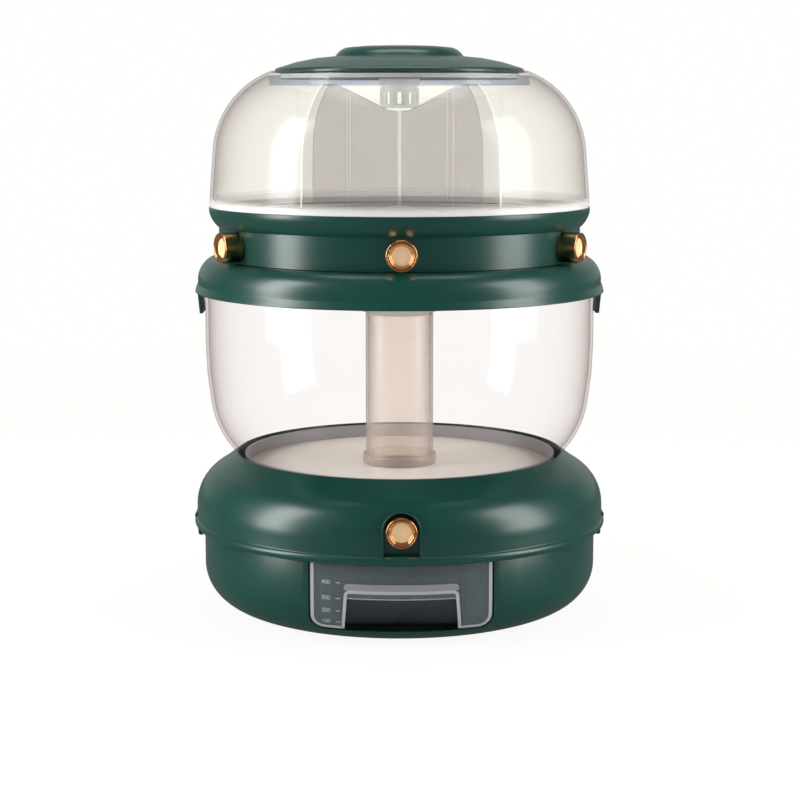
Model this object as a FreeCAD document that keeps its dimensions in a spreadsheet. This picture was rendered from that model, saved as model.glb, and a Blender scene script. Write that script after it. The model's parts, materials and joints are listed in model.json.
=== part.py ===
import FreeCAD, Part
import math
import os
import Sketcher

# Two-tier rotating rice bucket, in millimetres.
# The part stands on the table with its origin under the centre of the base.
# Z points up and the user stands on the -Y side.
# From the bottom: a round base with a measuring drawer, a clear bucket, and a turning carousel
# with six compartments. Each compartment, and the bucket, empties through a push-button gate.

doc = FreeCAD.newDocument("rotating_rice_bucket")

# Sizes. Each line is one driving dimension: its name, its value and what it measures.
SIZES = (
    ("foot_reach", 1.5, "height at which the feet hold the bowl off the table"),
    ("foot_recess", 1.0, "depth of the pocket that locates a foot"),
    ("foot_radius", 8.0, "radius of one rubber foot"),
    ("foot_circle", 92.0, "radius of the circle of feet"),
    ("foot_count", 4, "number of feet, and of screw posts"),
    ("bowl_radius", 145.3, "outside radius of the base bowl"),
    ("bowl_wall", 2.8, "wall of the base bowl"),
    ("bowl_corner", 31.0, "radius between the bowl's floor and its wall"),
    ("bowl_height", 68.5, "height of the bowl from its floor to its rim"),
    ("lip_overlap", 7.0, "how far the shoulder's lip hangs over the bowl"),
    ("lip_reach", 7.3, "how far the rounded lip stands out of the bowl"),
    ("lip_bead", 7.0, "height of the rounded lip"),
    ("shoulder_reach", 5.4, "how far the shoulder's side stands out of the bowl"),
    ("shoulder_wall", 2.6, "wall of the shoulder"),
    ("shoulder_side", 15.8, "height from the lip's lower edge to where the shoulder curves in"),
    ("shoulder_arc", 32.9, "radius of the shoulder's curve"),
    ("shoulder_rise", 51.74, "height of the shoulder's opening over its lower edge"),
    ("opening_gap", 2.3, "gap between the shoulder's opening and the bucket's foot"),
    ("floor_rise", 41.4, "height of the bucket's floor over the shoulder's lower edge"),
    ("floor_plate", 2.6, "thickness of the bucket's floor plate"),
    ("spigot_radius", 117.6, "outside radius of the bucket's foot"),
    ("bucket_wall", 2.2, "wall of the clear bucket"),
    ("bucket_radius", 141.6, "outside radius of the bucket at its top"),
    ("bucket_height", 144.9, "height of the bucket's rim over its floor"),
    ("waist_inset", 3.4, "how much narrower the bucket is where its lower curve ends"),
    ("waist_rise", 48.9, "height of that place over the floor"),
    ("belly_arc", 64.7, "radius of the bucket's lower curve"),
    ("side_arc", 261.0, "radius of the gentle curve up the bucket's side"),
    ("side_rise", 91.0, "height over the floor where the side becomes upright"),
    ("tube_radius", 25.0, "outside radius of the drop tube"),
    ("tube_wall", 1.6, "wall of the drop tube"),
    ("collar_radius", 27.2, "radius of the collar at the foot of the tube"),
    ("collar_height", 7.6, "height of that collar"),
    ("ring_reach", 6.2, "how far the upper ring stands out of the bucket"),
    ("ring_wall", 2.4, "wall of the upper ring"),
    ("ring_arc", 17.2, "radius of the upper ring's top edge"),
    ("ring_over", 8.6, "height of the ring's top over the bucket's rim"),
    ("ring_skirt", 24.0, "height of the ring from its lower edge to its top"),
    ("ring_lip", 2.1, "how far the ring's lip flares out"),
    ("turning_gap", 0.4, "gap under the carousel"),
    ("race_radius", 118.0, "radius of the circle that the bearing balls run on"),
    ("race_width", 12.0, "width of each bearing race"),
    ("race_height", 2.4, "thickness of each bearing race"),
    ("ball_radius", 2.5, "radius of one bearing ball"),
    ("ball_count", 12, "number of bearing balls"),
    ("funnel_slope", 26.0, "slope of the funnel, in degrees"),
    ("funnel_wall", 2.0, "height of the funnel's wall, measured upright"),
    ("funnel_flange", 1.6, "thickness of the flange that hangs the funnel in the upper ring"),
    ("neck_inset", 15.8, "how far the carousel's neck band stands in from the upper ring"),
    ("neck_wall", 2.6, "wall of the neck band"),
    ("neck_height", 23.2, "height of the neck band"),
    ("gate_count", 6, "number of compartments, buttons and gates"),
    ("button_radius", 10.6, "radius of a push button"),
    ("button_reach", 13.7, "how far a button stands out of the band"),
    ("button_fit", 0.3, "radial gap round a button"),
    ("button_travel", 8.0, "travel of a button"),
    ("button_rise", 11.7, "height of the button's axis over the neck's lower edge"),
    ("button_wall", 1.6, "wall of a button cap"),
    ("dish_radius", 6.7, "radius of the flat dish in a button's face"),
    ("dish_depth", 2.2, "depth of that dish"),
    ("sleeve_length", 4.4, "length of the guide sleeve behind each button hole"),
    ("gate_plate", 2.4, "thickness of a gate"),
    ("gate_rise", 2.6, "height of the gate's underside over the button's axis"),
    ("gate_width", 32.0, "width of a gate"),
    ("outlet_width", 26.0, "width of an outlet"),
    ("outlet_length", 7.5, "length of an outlet, a little less than the travel"),
    ("stem_play", 1.19, "gap between the inside of a cap and the corners of its gate's bar"),
    ("spring_radius", 3.8, "outside radius of a button's return spring"),
    ("spring_drop", 2.5, "how far the spring's axis lies below the button's axis"),
    ("rim_reach", 7.0, "how far the carousel's rim stands out of the neck"),
    ("rim_wall", 1.6, "wall of the rim"),
    ("rim_band", 3.3, "height of the upright band on the rim"),
    ("tray_height", 14.0, "height of the tray over the neck band"),
    ("tray_wall", 2.2, "wall of the tray's flare"),
    ("flare_arc", 19.4, "radius of the flare under the rim"),
    ("compartment_floor", 2.4, "thickness of the compartments' floor"),
    ("floor_cone", 5.5, "how much the floor rises towards the centre"),
    ("container_wall", 2.0, "wall of the clear container"),
    ("dome_arc", 65.2, "radius of the container's dome"),
    ("dome_inset", 3.3, "how far the dome stands back from the carousel's rim"),
    ("dome_rise", 36.0, "height of the dome arc's centre over the rim"),
    ("dome_draft", 4.5, "lean of the container's side, in degrees"),
    ("mouth_radius", 86.6, "radius of the container's filling mouth"),
    ("divider_wall", 1.5, "thickness of a divider wall"),
    ("hoop_reach", 8.0, "how far the hoop that joins the dividers stands out past the mouth"),
    ("divider_hoop", 6.5, "height of that hoop"),
    ("divider_rib", 74.0, "radius of the upright stiffening rib on each divider wall"),
    ("rib_width", 1.6, "width of that rib"),
    ("rib_stand", 0.5, "how far the rib stands out of each face of the wall"),
    ("lid_overlap", 3.8, "how far the lid reaches past the mouth"),
    ("lid_wall", 2.2, "wall of the lid"),
    ("knob_radius", 46.4, "radius of the lid's raised grip"),
    ("knob_height", 7.6, "height of the grip over the lid"),
    ("lid_rise", 10.4, "how much the lid rises from its edge to the grip"),
    ("lid_edge", 1.4, "height of the lid's upright edge"),
    ("lid_arc", 146.0, "radius of the lid's gentle dome"),
    ("grip_side_arc", 13.0, "radius of the side of the lid's grip"),
    ("grip_top_arc", 206.4, "radius of the slightly crowned top of the grip"),
    ("grip_flat", 14.0, "radius of the flat in the middle of the grip"),
    ("dryer_radius", 14.2, "radius of the slotted moisture box"),
    ("dryer_height", 14.4, "height of the moisture box"),
    ("dryer_drop", 11.0, "height of the lid's seat over the box's top"),
    ("drawer_half", 62.9, "half the width of the measuring drawer"),
    ("drawer_floor_rise", 10.5, "height of the drawer's underside over the bowl's underside"),
    ("drawer_height", 50.5, "height of the drawer"),
    ("drawer_back", 28.0, "how far the drawer reaches past the axis"),
    ("drawer_wall", 2.0, "wall of the drawer"),
    ("drawer_corner", 10.0, "radius of the drawer's lower corners"),
    ("drawer_top_corner", 3.0, "radius of the upper corners of the drawer's front"),
    ("drawer_gap", 0.9, "gap round the drawer's front"),
    ("grip_half", 40.2, "half the width of the finger recess"),
    ("grip_height", 30.2, "height of the finger recess's roof over the drawer's underside"),
    ("grip_depth", 27.0, "depth of the finger recess"),
    ("grip_lip", 6.1, "height of the lip that hangs before the recess"),
    ("bay_wall", 1.8, "wall of the drawer's housing"),
    ("base_button_reach", 7.3, "how far the base button stands out of the shoulder"),
    ("base_button_height", 85.0, "height of the base button's axis"),
    ("boss_radius", 13.5, "radius of the arched boss round the base button"),
    ("boss_reach", 0.3, "how far the boss stands out of the shoulder's side"),
    ("boss_recess", 12.3, "half width of the recess in the boss"),
    ("boss_depth", 5.8, "depth of that recess"),
    ("base_outlet", 92.0, "distance of the bucket's outlet from the axis"),
    ("latch_width", 24.0, "width of a latch"),
    ("upper_latch_drop", 16.5, "how far an upper latch hangs below the upper ring"),
    ("lower_latch_drop", 11.3, "how far a lower latch hangs below the lip"),
    ("latch_side_gap", 0.4, "gap at each side of a latch in its slot"),
    ("groove_drop", 10.4, "how far the lower latches' groove in the bowl lies below the lip"),
    ("groove_width", 5.3, "height of that groove"),
    ("groove_depth", 1.2, "depth of that groove"),
    ("pin_radius", 1.0, "radius of the pin that a latch turns on"),
    ("pin_gap", 0.3, "gap round that pin"),
    ("post_offset", 0.3, "how far the circle of screw posts lies outside the bucket's foot"),
    ("post_radius", 5.0, "radius of a screw post"),
    ("post_top", 60.0, "height of the top of the bowl's posts"),
    ("screw_radius", 1.5, "radius of a screw's shank"),
    ("screw_head", 3.0, "radius of a screw's head"),
    ("screw_length", 16.0, "length of a screw's shank"),
    ("head_height", 2.4, "height of a screw's head"),
    ("screw_seat", 52.0, "height at which a screw's head seats in its post"),
    ("hand_gap", 0.3, "gap left between pieces that are placed by hand or slide"),
    ("channel_play", 1.0, "gap between a race and the side of the bearing channel"),
    ("ledge_width", 4.7, "width of the ledge inside the channel that carries the funnel"),
    ("channel_depth", 7.4, "depth of the bearing channel"),
    ("channel_wall", 2.4, "wall of the bearing channel"),
    ("groove_sink", 0.5, "how deep a ball sits in each race"),
    ("cap_length", 20.7, "length of a button cap"),
    ("gate_margin", 4.0, "how far a gate reaches past its window and its outlet"),
    ("guide_wall", 2.0, "wall of the gate guide"),
    ("guide_play", 0.6, "gap left between a pressed button cap and the gate guide"),
    ("ledge_height", 7.4, "depth of the tray's ledge below its rim"),
    ("tray_ledge", 3.4, "how far that ledge reaches in past the neck band"),
    ("hopper_angle", 48.0, "flare of the hoppers under the compartments, in degrees"),
)

sheet = doc.addObject("Spreadsheet::Sheet", "Sizes")
for row, (name, number, meaning) in enumerate(SIZES, start=1):
    sheet.set("A%d" % row, name)
    sheet.set("B%d" % row, str(number))
    sheet.set("C%d" % row, meaning)
    sheet.setAlias("B%d" % row, name)
doc.recompute()


class Size:
    """A size that carries its number and the sheet expression that gives it."""

    def __init__(self, number, text):
        self.number = number
        self.text = text

    def __add__(self, other):
        other = as_size(other)
        return Size(self.number + other.number, "(%s + %s)" % (self.text, other.text))

    def __sub__(self, other):
        other = as_size(other)
        return Size(self.number - other.number, "(%s - %s)" % (self.text, other.text))

    def __mul__(self, other):
        other = as_size(other)
        return Size(self.number * other.number, "(%s * %s)" % (self.text, other.text))

    def __truediv__(self, other):
        other = as_size(other)
        return Size(self.number / other.number, "(%s / %s)" % (self.text, other.text))

    def __neg__(self):
        return Size(-self.number, "(0 - %s)" % self.text)

    __radd__ = __add__

    def __rsub__(self, other):
        return as_size(other) - self

    __rmul__ = __mul__


def as_size(value):
    """A plain number becomes a size with that number as its expression."""
    if isinstance(value, Size):
        return value
    return Size(float(value), repr(float(value)))


def sine(angle):
    return Size(math.sin(math.radians(angle.number)), "sin(%s)" % angle.text)


def cosine(angle):
    return Size(math.cos(math.radians(angle.number)), "cos(%s)" % angle.text)


def tangent(angle):
    return Size(math.tan(math.radians(angle.number)), "tan(%s)" % angle.text)


def arc_tangent(value):
    return Size(math.degrees(math.atan(value.number)), "atan(%s) / 1 deg" % value.text)


def arc_cosine(value):
    return Size(math.degrees(math.acos(value.number)), "acos(%s) / 1 deg" % value.text)


def square_root(value):
    return Size(math.sqrt(value.number), "sqrt(%s)" % value.text)


class Sheet:
    """The sizes by name."""


s = Sheet()
for name, number, meaning in SIZES:
    setattr(s, name, Size(float(getattr(sheet, name)), "Sizes.%s" % name))

ZERO = as_size(0)
GATE_COUNT = int(s.gate_count.number)
BALL_COUNT = int(s.ball_count.number)
FULL_TURN = 360.0
FRONT = 90.0
CUT_PAST = 5.0
SCREW_PLAY = 0.05


# Helpers. Each makes one feature whose sizes are tied to the sheet.

def new_body(label):
    body = doc.addObject("PartDesign::Body", label)
    body.Label = label
    return body


def origin_plane(body, role):
    return next(item for item in body.Origin.OriginFeatures if item.Role == role)


def bind(feature, path, size):
    """Set a property to a size and tie it to the sheet."""
    size = as_size(size)
    if "Sizes." in size.text:
        feature.setExpression(path, size.text)
    elif "." not in path:
        setattr(feature, path, size.number)


def new_sketch(body, plane, offset=None):
    """An empty sketch on one of the body's own origin planes."""
    sketch = body.newObject("Sketcher::SketchObject", body.Label + "_sketch")
    sketch.AttachmentSupport = (origin_plane(body, plane), [""])
    sketch.MapMode = "FlatFace"
    if offset is not None:
        offset = as_size(offset)
        sketch.AttachmentOffset = FreeCAD.Placement(
            FreeCAD.Vector(0, 0, offset.number), FreeCAD.Rotation()
        )
        bind(sketch, "AttachmentOffset.Base.z", offset)
    return sketch


def place_constraints(sketch, index, end, corner):
    """Hold one end of a line or arc at a corner's two coordinates."""
    for kind, axis, value in (("DistanceX", -2, corner[0]), ("DistanceY", -1, corner[1])):
        value = as_size(value)
        if value.text == ZERO.text:
            sketch.addConstraint(Sketcher.Constraint("PointOnObject", index, end, axis))
            continue
        number = sketch.addConstraint(Sketcher.Constraint(kind, index, end, value.number))
        if "Sizes." in value.text:
            sketch.setExpression("Constraints[%d]" % number, value.text)


def add_loop(sketch, corners):
    """A closed outline through the corners, in order.

    A corner is (x, y), or (x, y, radius) where an arc leads to it: a positive radius turns
    left on the way there, and a negative one turns right.
    """
    first = sketch.GeometryCount
    ends = []
    count = len(corners)
    for number in range(count):
        start = [as_size(value).number for value in corners[number][:2]]
        goal = corners[(number + 1) % count]
        stop = [as_size(value).number for value in goal[:2]]
        if len(goal) == 2:
            sketch.addGeometry(Part.LineSegment(
                FreeCAD.Vector(start[0], start[1], 0), FreeCAD.Vector(stop[0], stop[1], 0)
            ))
            ends.append((1, 2))
            continue
        radius = as_size(goal[2])
        turns_left = radius.number > 0
        reach = abs(radius.number)
        run = (stop[0] - start[0], stop[1] - start[1])
        chord = math.hypot(*run)
        rise = math.sqrt(max(reach ** 2 - (chord / 2) ** 2, 0.0))
        side = 1 if turns_left else -1
        centre = (
            (start[0] + stop[0]) / 2 - side * rise * run[1] / chord,
            (start[1] + stop[1]) / 2 + side * rise * run[0] / chord,
        )
        begin, finish = (start, stop) if turns_left else (stop, start)
        circle = Part.Circle(
            FreeCAD.Vector(centre[0], centre[1], 0), FreeCAD.Vector(0, 0, 1), reach
        )
        angle_begin = math.atan2(begin[1] - centre[1], begin[0] - centre[0])
        angle_finish = math.atan2(finish[1] - centre[1], finish[0] - centre[0])
        if angle_finish < angle_begin:
            angle_finish += 2 * math.pi
        index = sketch.addGeometry(Part.ArcOfCircle(circle, angle_begin, angle_finish))
        ends.append((1, 2) if turns_left else (2, 1))
        size = radius if turns_left else -radius
        held = sketch.addConstraint(Sketcher.Constraint("Radius", index, reach))
        if "Sizes." in size.text:
            sketch.setExpression("Constraints[%d]" % held, size.text)
    for number in range(count):
        after = (number + 1) % count
        sketch.addConstraint(Sketcher.Constraint(
            "Coincident", first + number, ends[number][1], first + after, ends[after][0]
        ))
        place_constraints(sketch, first + number, ends[number][0], corners[number])


def add_circle(sketch, x, y, radius):
    x, y, radius = as_size(x), as_size(y), as_size(radius)
    index = sketch.addGeometry(Part.Circle(
        FreeCAD.Vector(x.number, y.number, 0), FreeCAD.Vector(0, 0, 1), radius.number
    ))
    place_constraints(sketch, index, 3, (x, y))
    held = sketch.addConstraint(Sketcher.Constraint("Radius", index, radius.number))
    if "Sizes." in radius.text:
        sketch.setExpression("Constraints[%d]" % held, radius.text)


def turned(label, corners):
    """A body made by turning an outline of (radius, height) corners round the Z axis."""
    body = new_body(label)
    add_turning(body, corners)
    return body


def add_turning(body, corners, feature="PartDesign::Revolution"):
    sketch = new_sketch(body, "XZ_Plane")
    add_loop(sketch, corners)
    turning = body.newObject(feature, body.Label + "_turning")
    turning.Profile = sketch
    turning.ReferenceAxis = (sketch, ["V_Axis"])
    turning.Angle = FULL_TURN
    sketch.Visibility = False
    body.Tip = turning
    return turning


def add_pad(body, sketch, length, both_ways=False, backwards=False):
    pad = body.newObject("PartDesign::Pad", body.Label + "_pad")
    pad.Profile = sketch
    bind(pad, "Length", length)
    pad.Midplane = both_ways
    pad.Reversed = backwards
    body.Tip = pad
    return pad


def add_pocket(body, sketch, length, both_ways=True, backwards=False):
    """Cut an outline into the body, and make sure that it took something away."""
    doc.recompute()
    before = body.Shape.Volume
    pocket = body.newObject("PartDesign::Pocket", body.Label + "_pocket")
    pocket.Profile = sketch
    bind(pocket, "Length", length)
    pocket.Midplane = both_ways
    pocket.Reversed = backwards
    body.Tip = pocket
    doc.recompute()
    if body.Shape.Volume > before - 0.01:
        raise ValueError(body.Label + ": a pocket cut nothing")
    return pocket


def repeat_round(body, feature, count):
    """Repeat a feature round the Z axis."""
    pattern = body.newObject("PartDesign::PolarPattern", body.Label + "_pattern")
    pattern.Originals = [feature]
    pattern.Axis = (origin_plane(body, "Z_Axis"), [""])
    pattern.Angle = FULL_TURN
    body.Tip = pattern
    count = as_size(count)
    pattern.Occurrences = int(count.number)
    if "Sizes." in count.text:
        pattern.setExpression("Occurrences", count.text)
    return pattern


def block_corners(left, right, low, high):
    return ((left, low), (right, low), (right, high), (left, high))


def rounded_corners(left, right, low, high, low_radius, high_radius):
    """A rectangle whose two lower and two upper corners have their own radii."""
    return (
        (left + low_radius, low, low_radius),
        (right - low_radius, low),
        (right, low + low_radius, low_radius),
        (right, high - high_radius),
        (right - high_radius, high, high_radius),
        (left + high_radius, high),
        (left, high - high_radius, high_radius),
        (left, low + low_radius),
    )


def prism(label, plane, corners, low, high):
    """A body padded from one distance off an origin plane to another."""
    body = new_body(label)
    low, high = as_size(low), as_size(high)
    sketch = new_sketch(body, plane, low)
    add_loop(sketch, corners)
    add_pad(body, sketch, high - low)
    return body


def flat_outline(left, right, front, back):
    return ((left, front), (right, front), (right, back), (left, back))


def add_block(body, left, right, front, back, low, high):
    """Pad a rectangular block onto a body."""
    low, high = as_size(low), as_size(high)
    sketch = new_sketch(body, "XY_Plane", low)
    add_loop(sketch, flat_outline(left, right, front, back))
    return add_pad(body, sketch, high - low)


def cut_block(body, left, right, front, back, low, high):
    """Cut a rectangular block out of a body."""
    low, high = as_size(low), as_size(high)
    sketch = new_sketch(body, "XY_Plane", (low + high) / 2)
    add_loop(sketch, flat_outline(left, right, front, back))
    return add_pocket(body, sketch, high - low)


def cut_round(body, places, radius, low, high):
    """Cut upright round holes out of a body."""
    low, high = as_size(low), as_size(high)
    sketch = new_sketch(body, "XY_Plane", (low + high) / 2)
    for x, y in places:
        add_circle(sketch, x, y, radius)
    return add_pocket(body, sketch, high - low)


def set_place(item, x, y, z, rotation=FreeCAD.Rotation()):
    x, y, z = as_size(x), as_size(y), as_size(z)
    item.Placement = FreeCAD.Placement(FreeCAD.Vector(x.number, y.number, z.number), rotation)
    for letter, size in (("x", x), ("y", y), ("z", z)):
        if "Sizes." in size.text:
            item.setExpression("Placement.Base." + letter, size.text)


def cylinder(label, radius, height, x, y, z, rotation=FreeCAD.Rotation()):
    item = doc.addObject("Part::Cylinder", label)
    bind(item, "Radius", radius)
    bind(item, "Height", height)
    set_place(item, x, y, z, rotation)
    return item


def cut(label, base, tool):
    item = doc.addObject("Part::Cut", label)
    item.Base = base
    item.Tool = tool
    return item


def fuse(label, *shapes):
    item = doc.addObject("Part::MultiFuse", label)
    item.Shapes = list(shapes)
    return item


def common(label, *shapes):
    item = doc.addObject("Part::MultiCommon", label)
    item.Shapes = list(shapes)
    return item


def group(label, shapes):
    item = doc.addObject("Part::Compound", label)
    item.Links = list(shapes)
    return item


FORWARD = FreeCAD.Rotation(FreeCAD.Vector(1, 0, 0), 90)
UP = FreeCAD.Vector(0, 0, 1)
GAP = s.hand_gap

# Radii that follow from the bowl, the bucket, the bearing, the neck and the mouth.

lip_radius = s.bowl_radius + s.lip_reach
shoulder_radius = s.bowl_radius + s.shoulder_reach
boss_out = shoulder_radius + s.boss_reach
base_button_out = shoulder_radius + s.base_button_reach
opening_radius = s.spigot_radius + s.opening_gap
post_circle = s.spigot_radius + s.post_offset
waist_radius = s.bucket_radius - s.waist_inset
ring_radius = s.bucket_radius + s.ring_reach
neck_radius = ring_radius - s.neck_inset
channel_in = s.race_radius - s.race_width / 2 - s.channel_play
channel_out = s.race_radius + s.race_width / 2 + s.channel_play
ring_hub = channel_in - s.ledge_width
rim_radius = neck_radius + s.rim_reach
back_out = neck_radius + s.button_reach - s.cap_length
guide_radius = back_out - s.button_travel - s.guide_play
guide_in = guide_radius - s.guide_wall
outlet_radius = guide_in - 2.9 - s.gate_margin - s.button_travel - s.outlet_length
stem_bore = s.button_radius - s.button_wall - s.stem_play
stem_top = s.gate_rise + s.gate_plate
stem_half = square_root(stem_bore * stem_bore - stem_top * stem_top)
lid_radius = s.mouth_radius + s.lid_overlap
hoop_out = s.mouth_radius + s.hoop_reach

# Heights of the stack, each worked out from the one below it.

bowl_low = s.foot_reach
bowl_rim = bowl_low + s.bowl_height
lip_low = bowl_rim - s.lip_overlap
lip_top = lip_low + s.lip_bead
side_top = lip_low + s.shoulder_side
floor_top = lip_low + s.floor_rise
floor_low = floor_top - s.floor_plate
bucket_top = floor_top + s.bucket_height
ring_top = bucket_top + s.ring_over
ring_low = ring_top - s.ring_skirt
neck_low = ring_top + s.turning_gap
neck_top = neck_low + s.neck_height
button_axis = neck_low + s.button_rise
rim_top = neck_top + s.tray_height
rim_low = rim_top - s.rim_band
ledge_top = rim_top - s.ledge_height
dome_height = rim_top + s.dome_rise
drawer_low = bowl_low + s.drawer_floor_rise
drawer_top = drawer_low + s.drawer_height

# The base bowl: a moulded shell with the drawer's opening, screw posts and foot recesses.

FOOT_COUNT = int(s.foot_count.number)


def round_places(circle):
    """The places of the feet or posts on a circle: the first lies half a step from the X axis."""
    step = 2 * math.pi / FOOT_COUNT
    angles = [step * (number + 0.5) for number in range(FOOT_COUNT)]
    return [(circle * math.cos(angle), circle * math.sin(angle)) for angle in angles]


def bowl_limit(inset, low, top):
    """The bowl's outside, drawn in by an inset, as a closed outline to turn."""
    return (
        (0, low),
        (s.bowl_radius - s.bowl_corner, low),
        (s.bowl_radius - inset, low + s.bowl_corner - inset, s.bowl_corner - inset),
        (s.bowl_radius - inset, top),
        (0, top),
    )


wall = s.bowl_wall
groove_low = lip_low - s.groove_drop
groove_high = groove_low + s.groove_width
bowl = turned("base_bowl", (
    (0, bowl_low),
    (s.bowl_radius - s.bowl_corner, bowl_low),
    (s.bowl_radius, bowl_low + s.bowl_corner, s.bowl_corner),
    (s.bowl_radius, bowl_rim),
    (s.bowl_radius - wall, bowl_rim),
    (s.bowl_radius - wall, bowl_low + s.bowl_corner),
    (s.bowl_radius - s.bowl_corner, bowl_low + wall, wall - s.bowl_corner),
    (0, bowl_low + wall),
))
posts = new_sketch(bowl, "XY_Plane", bowl_low + wall / 2)
for x, y in round_places(post_circle):
    add_circle(posts, x, y, s.post_radius)
add_pad(bowl, posts, s.post_top - bowl_low - wall / 2)
opening = new_sketch(bowl, "XZ_Plane", s.bowl_radius)
opening_half = s.drawer_half + s.drawer_gap
add_loop(opening, rounded_corners(
    -opening_half, opening_half, drawer_low - s.drawer_gap, drawer_top + s.drawer_gap,
    s.drawer_corner + s.drawer_gap, s.drawer_top_corner + s.drawer_gap,
))
add_pocket(bowl, opening, s.bowl_corner * 2)
cut_round(bowl, round_places(post_circle), s.screw_head + GAP, 0, s.screw_seat)
cut_round(bowl, round_places(post_circle), s.screw_radius + SCREW_PLAY, 0, s.post_top + 1)
cut_round(bowl, round_places(s.foot_circle), s.foot_radius + 0.1, 0, bowl_low + s.foot_recess)
groove_half = s.latch_width / 2 + s.latch_side_gap
for side in (-1, 1):
    inner = (s.bowl_radius - s.groove_depth) * side
    outer = (s.bowl_radius + CUT_PAST) * side
    left, right = (inner, outer) if side > 0 else (outer, inner)
    cut_block(bowl, left, right, -groove_half, groove_half, groove_low, groove_high)

feet = group("base_feet", [
    cylinder("foot", s.foot_radius, bowl_low + s.foot_recess, x, y, 0)
    for x, y in round_places(s.foot_circle)
])

screws = group("base_screws", [
    fuse(
        "screw",
        cylinder("shank", s.screw_radius, s.screw_length, x, y, s.screw_seat),
        cylinder("head", s.screw_head, s.head_height, x, y, s.screw_seat - s.head_height),
    )
    for x, y in round_places(post_circle)
])

# The black housing that the drawer slides in, drawn inside the bowl.

bay_gap = 0.8
RAIL_PLACE = 50.0
RAIL_HALF = 3.0
bay_half = s.drawer_half + bay_gap
bay_low = drawer_low - GAP
bay_high = drawer_top + 1.3
bay_back = s.drawer_back + bay_gap
plate = s.bay_wall
bay = prism(
    "bay_box", "XY_Plane",
    flat_outline(-bay_half - plate, bay_half + plate, -s.bowl_radius, bay_back + plate),
    bay_low - plate, bay_high + plate,
)
for side in (-1, 1):
    add_block(
        bay, RAIL_PLACE * side - RAIL_HALF, RAIL_PLACE * side + RAIL_HALF, -s.bowl_radius, bay_back,
        bowl_low + wall + GAP, bay_low - plate / 2,
    )
cut_block(bay, -bay_half, bay_half, -s.bowl_radius - CUT_PAST, bay_back, bay_low, bay_high)
cut_round(bay, [(0, 0)], s.tube_radius + 0.4, bay_high - 0.5, bay_high + plate + 1)
outlet_out = s.base_outlet + s.outlet_length
duct_fit = 3.3
duct_half = s.outlet_width / 2 + 4
duct_front = -outlet_out - duct_fit
duct_back = -s.base_outlet + duct_fit
cut_block(bay, -duct_half, duct_half, duct_front, duct_back, bay_high - 0.5, bay_high + plate + 1)
bay_edge = turned("bay_edge", bowl_limit(wall + GAP, bowl_low + wall + GAP, bowl_rim))
drawer_bay = common("drawer_bay", bay, bay_edge)

# The measuring drawer: an open tray whose front follows the bowl, with a finger recess below.

half = s.drawer_half
skin = s.drawer_wall
outer_front = turned("front_face", bowl_limit(GAP, bowl_low + GAP, bowl_rim))
inner_front = turned(
    "front_inside", bowl_limit(GAP + skin, bowl_low + GAP + skin, bowl_rim + CUT_PAST)
)
roof = drawer_low + s.grip_height
grip_back = -s.bowl_radius + GAP + s.grip_depth + 1
lip_edge = roof - s.grip_lip
GRIP_LEAN = 1.2


def drawer_block(label, inset, low, high, back):
    """A long block with the drawer's rounded front outline, drawn in by an inset."""
    body = new_body(label)
    sketch = new_sketch(body, "XZ_Plane", -back)
    add_loop(sketch, rounded_corners(
        inset - half, half - inset, low, high, s.drawer_corner - inset, s.drawer_top_corner - inset
    ))
    add_pad(body, sketch, s.bowl_radius + back)
    return body


def grip_block(label, grow, low, high, front, back):
    """The finger recess, or the wall round it when grown."""
    body = new_body(label)
    sketch = new_sketch(body, "XZ_Plane", -back)
    add_loop(sketch, (
        (-s.grip_half - GRIP_LEAN - grow, low), (s.grip_half + GRIP_LEAN + grow, low),
        (s.grip_half - GRIP_LEAN + grow, high), (-s.grip_half + GRIP_LEAN - grow, high),
    ))
    add_pad(body, sketch, back - front)
    return body


outside = common(
    "drawer_outside",
    drawer_block("drawer_long", ZERO, drawer_low, drawer_top, s.drawer_back), outer_front,
)
inside = common(
    "drawer_inside",
    drawer_block(
        "drawer_hollow", skin, drawer_low + skin, drawer_top + s.drawer_corner,
        s.drawer_back - skin,
    ),
    inner_front,
)
grip_wall = common(
    "grip_wall",
    grip_block(
        "grip_shell", skin, drawer_low, roof + skin, -s.bowl_radius - CUT_PAST, grip_back + skin
    ),
    outside,
)
grip_open = grip_block(
    "grip_open", ZERO, drawer_low - CUT_PAST, lip_edge, -s.bowl_radius - CUT_PAST, grip_back
)
grip_high = common(
    "grip_high",
    grip_block("grip_void", ZERO, drawer_low - CUT_PAST, roof, -s.bowl_radius, grip_back),
    inner_front,
)
drawer_shell = fuse("drawer_shell", cut("drawer_tray", outside, inside), grip_wall)
drawer = cut("measuring_drawer", drawer_shell, fuse("grip_space", grip_open, grip_high))

# The shoulder: the lip over the bowl, the curved wall and the tub that holds the bucket's foot.

FOOT_SEAT = 2.4
SEAT_INSET = 4.0
PLATE_SEAT = 0.2
TUB_INSET = 11.9
TONGUE_WIDTH = 2.6
TONGUE_DROP = 2.9
tub_low = floor_low - 5.6
arc_middle = shoulder_radius - s.shoulder_arc
rim_run = arc_middle - opening_radius
rim_rise = lip_low + s.shoulder_rise - side_top
rim_reach = square_root(rim_run * rim_run + rim_rise * rim_rise)
turn = 90 + arc_tangent(rim_run / rim_rise) - arc_cosine(s.shoulder_arc / rim_reach)
slope = tangent(90 - turn)
arc_end = (arc_middle + s.shoulder_arc * cosine(turn), side_top + s.shoulder_arc * sine(turn))
inner_arc = s.shoulder_arc - s.shoulder_wall
inner_end = (arc_middle + inner_arc * cosine(turn), side_top + inner_arc * sine(turn))
tub_out = opening_radius + FOOT_SEAT
tongue = s.bowl_radius - wall - GAP
bead = s.lip_bead / 2
bead_middle = lip_radius - bead
bead_rise = square_root(bead * bead - (shoulder_radius - bead_middle) * (
    shoulder_radius - bead_middle))
inside_side = shoulder_radius - s.shoulder_wall
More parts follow.
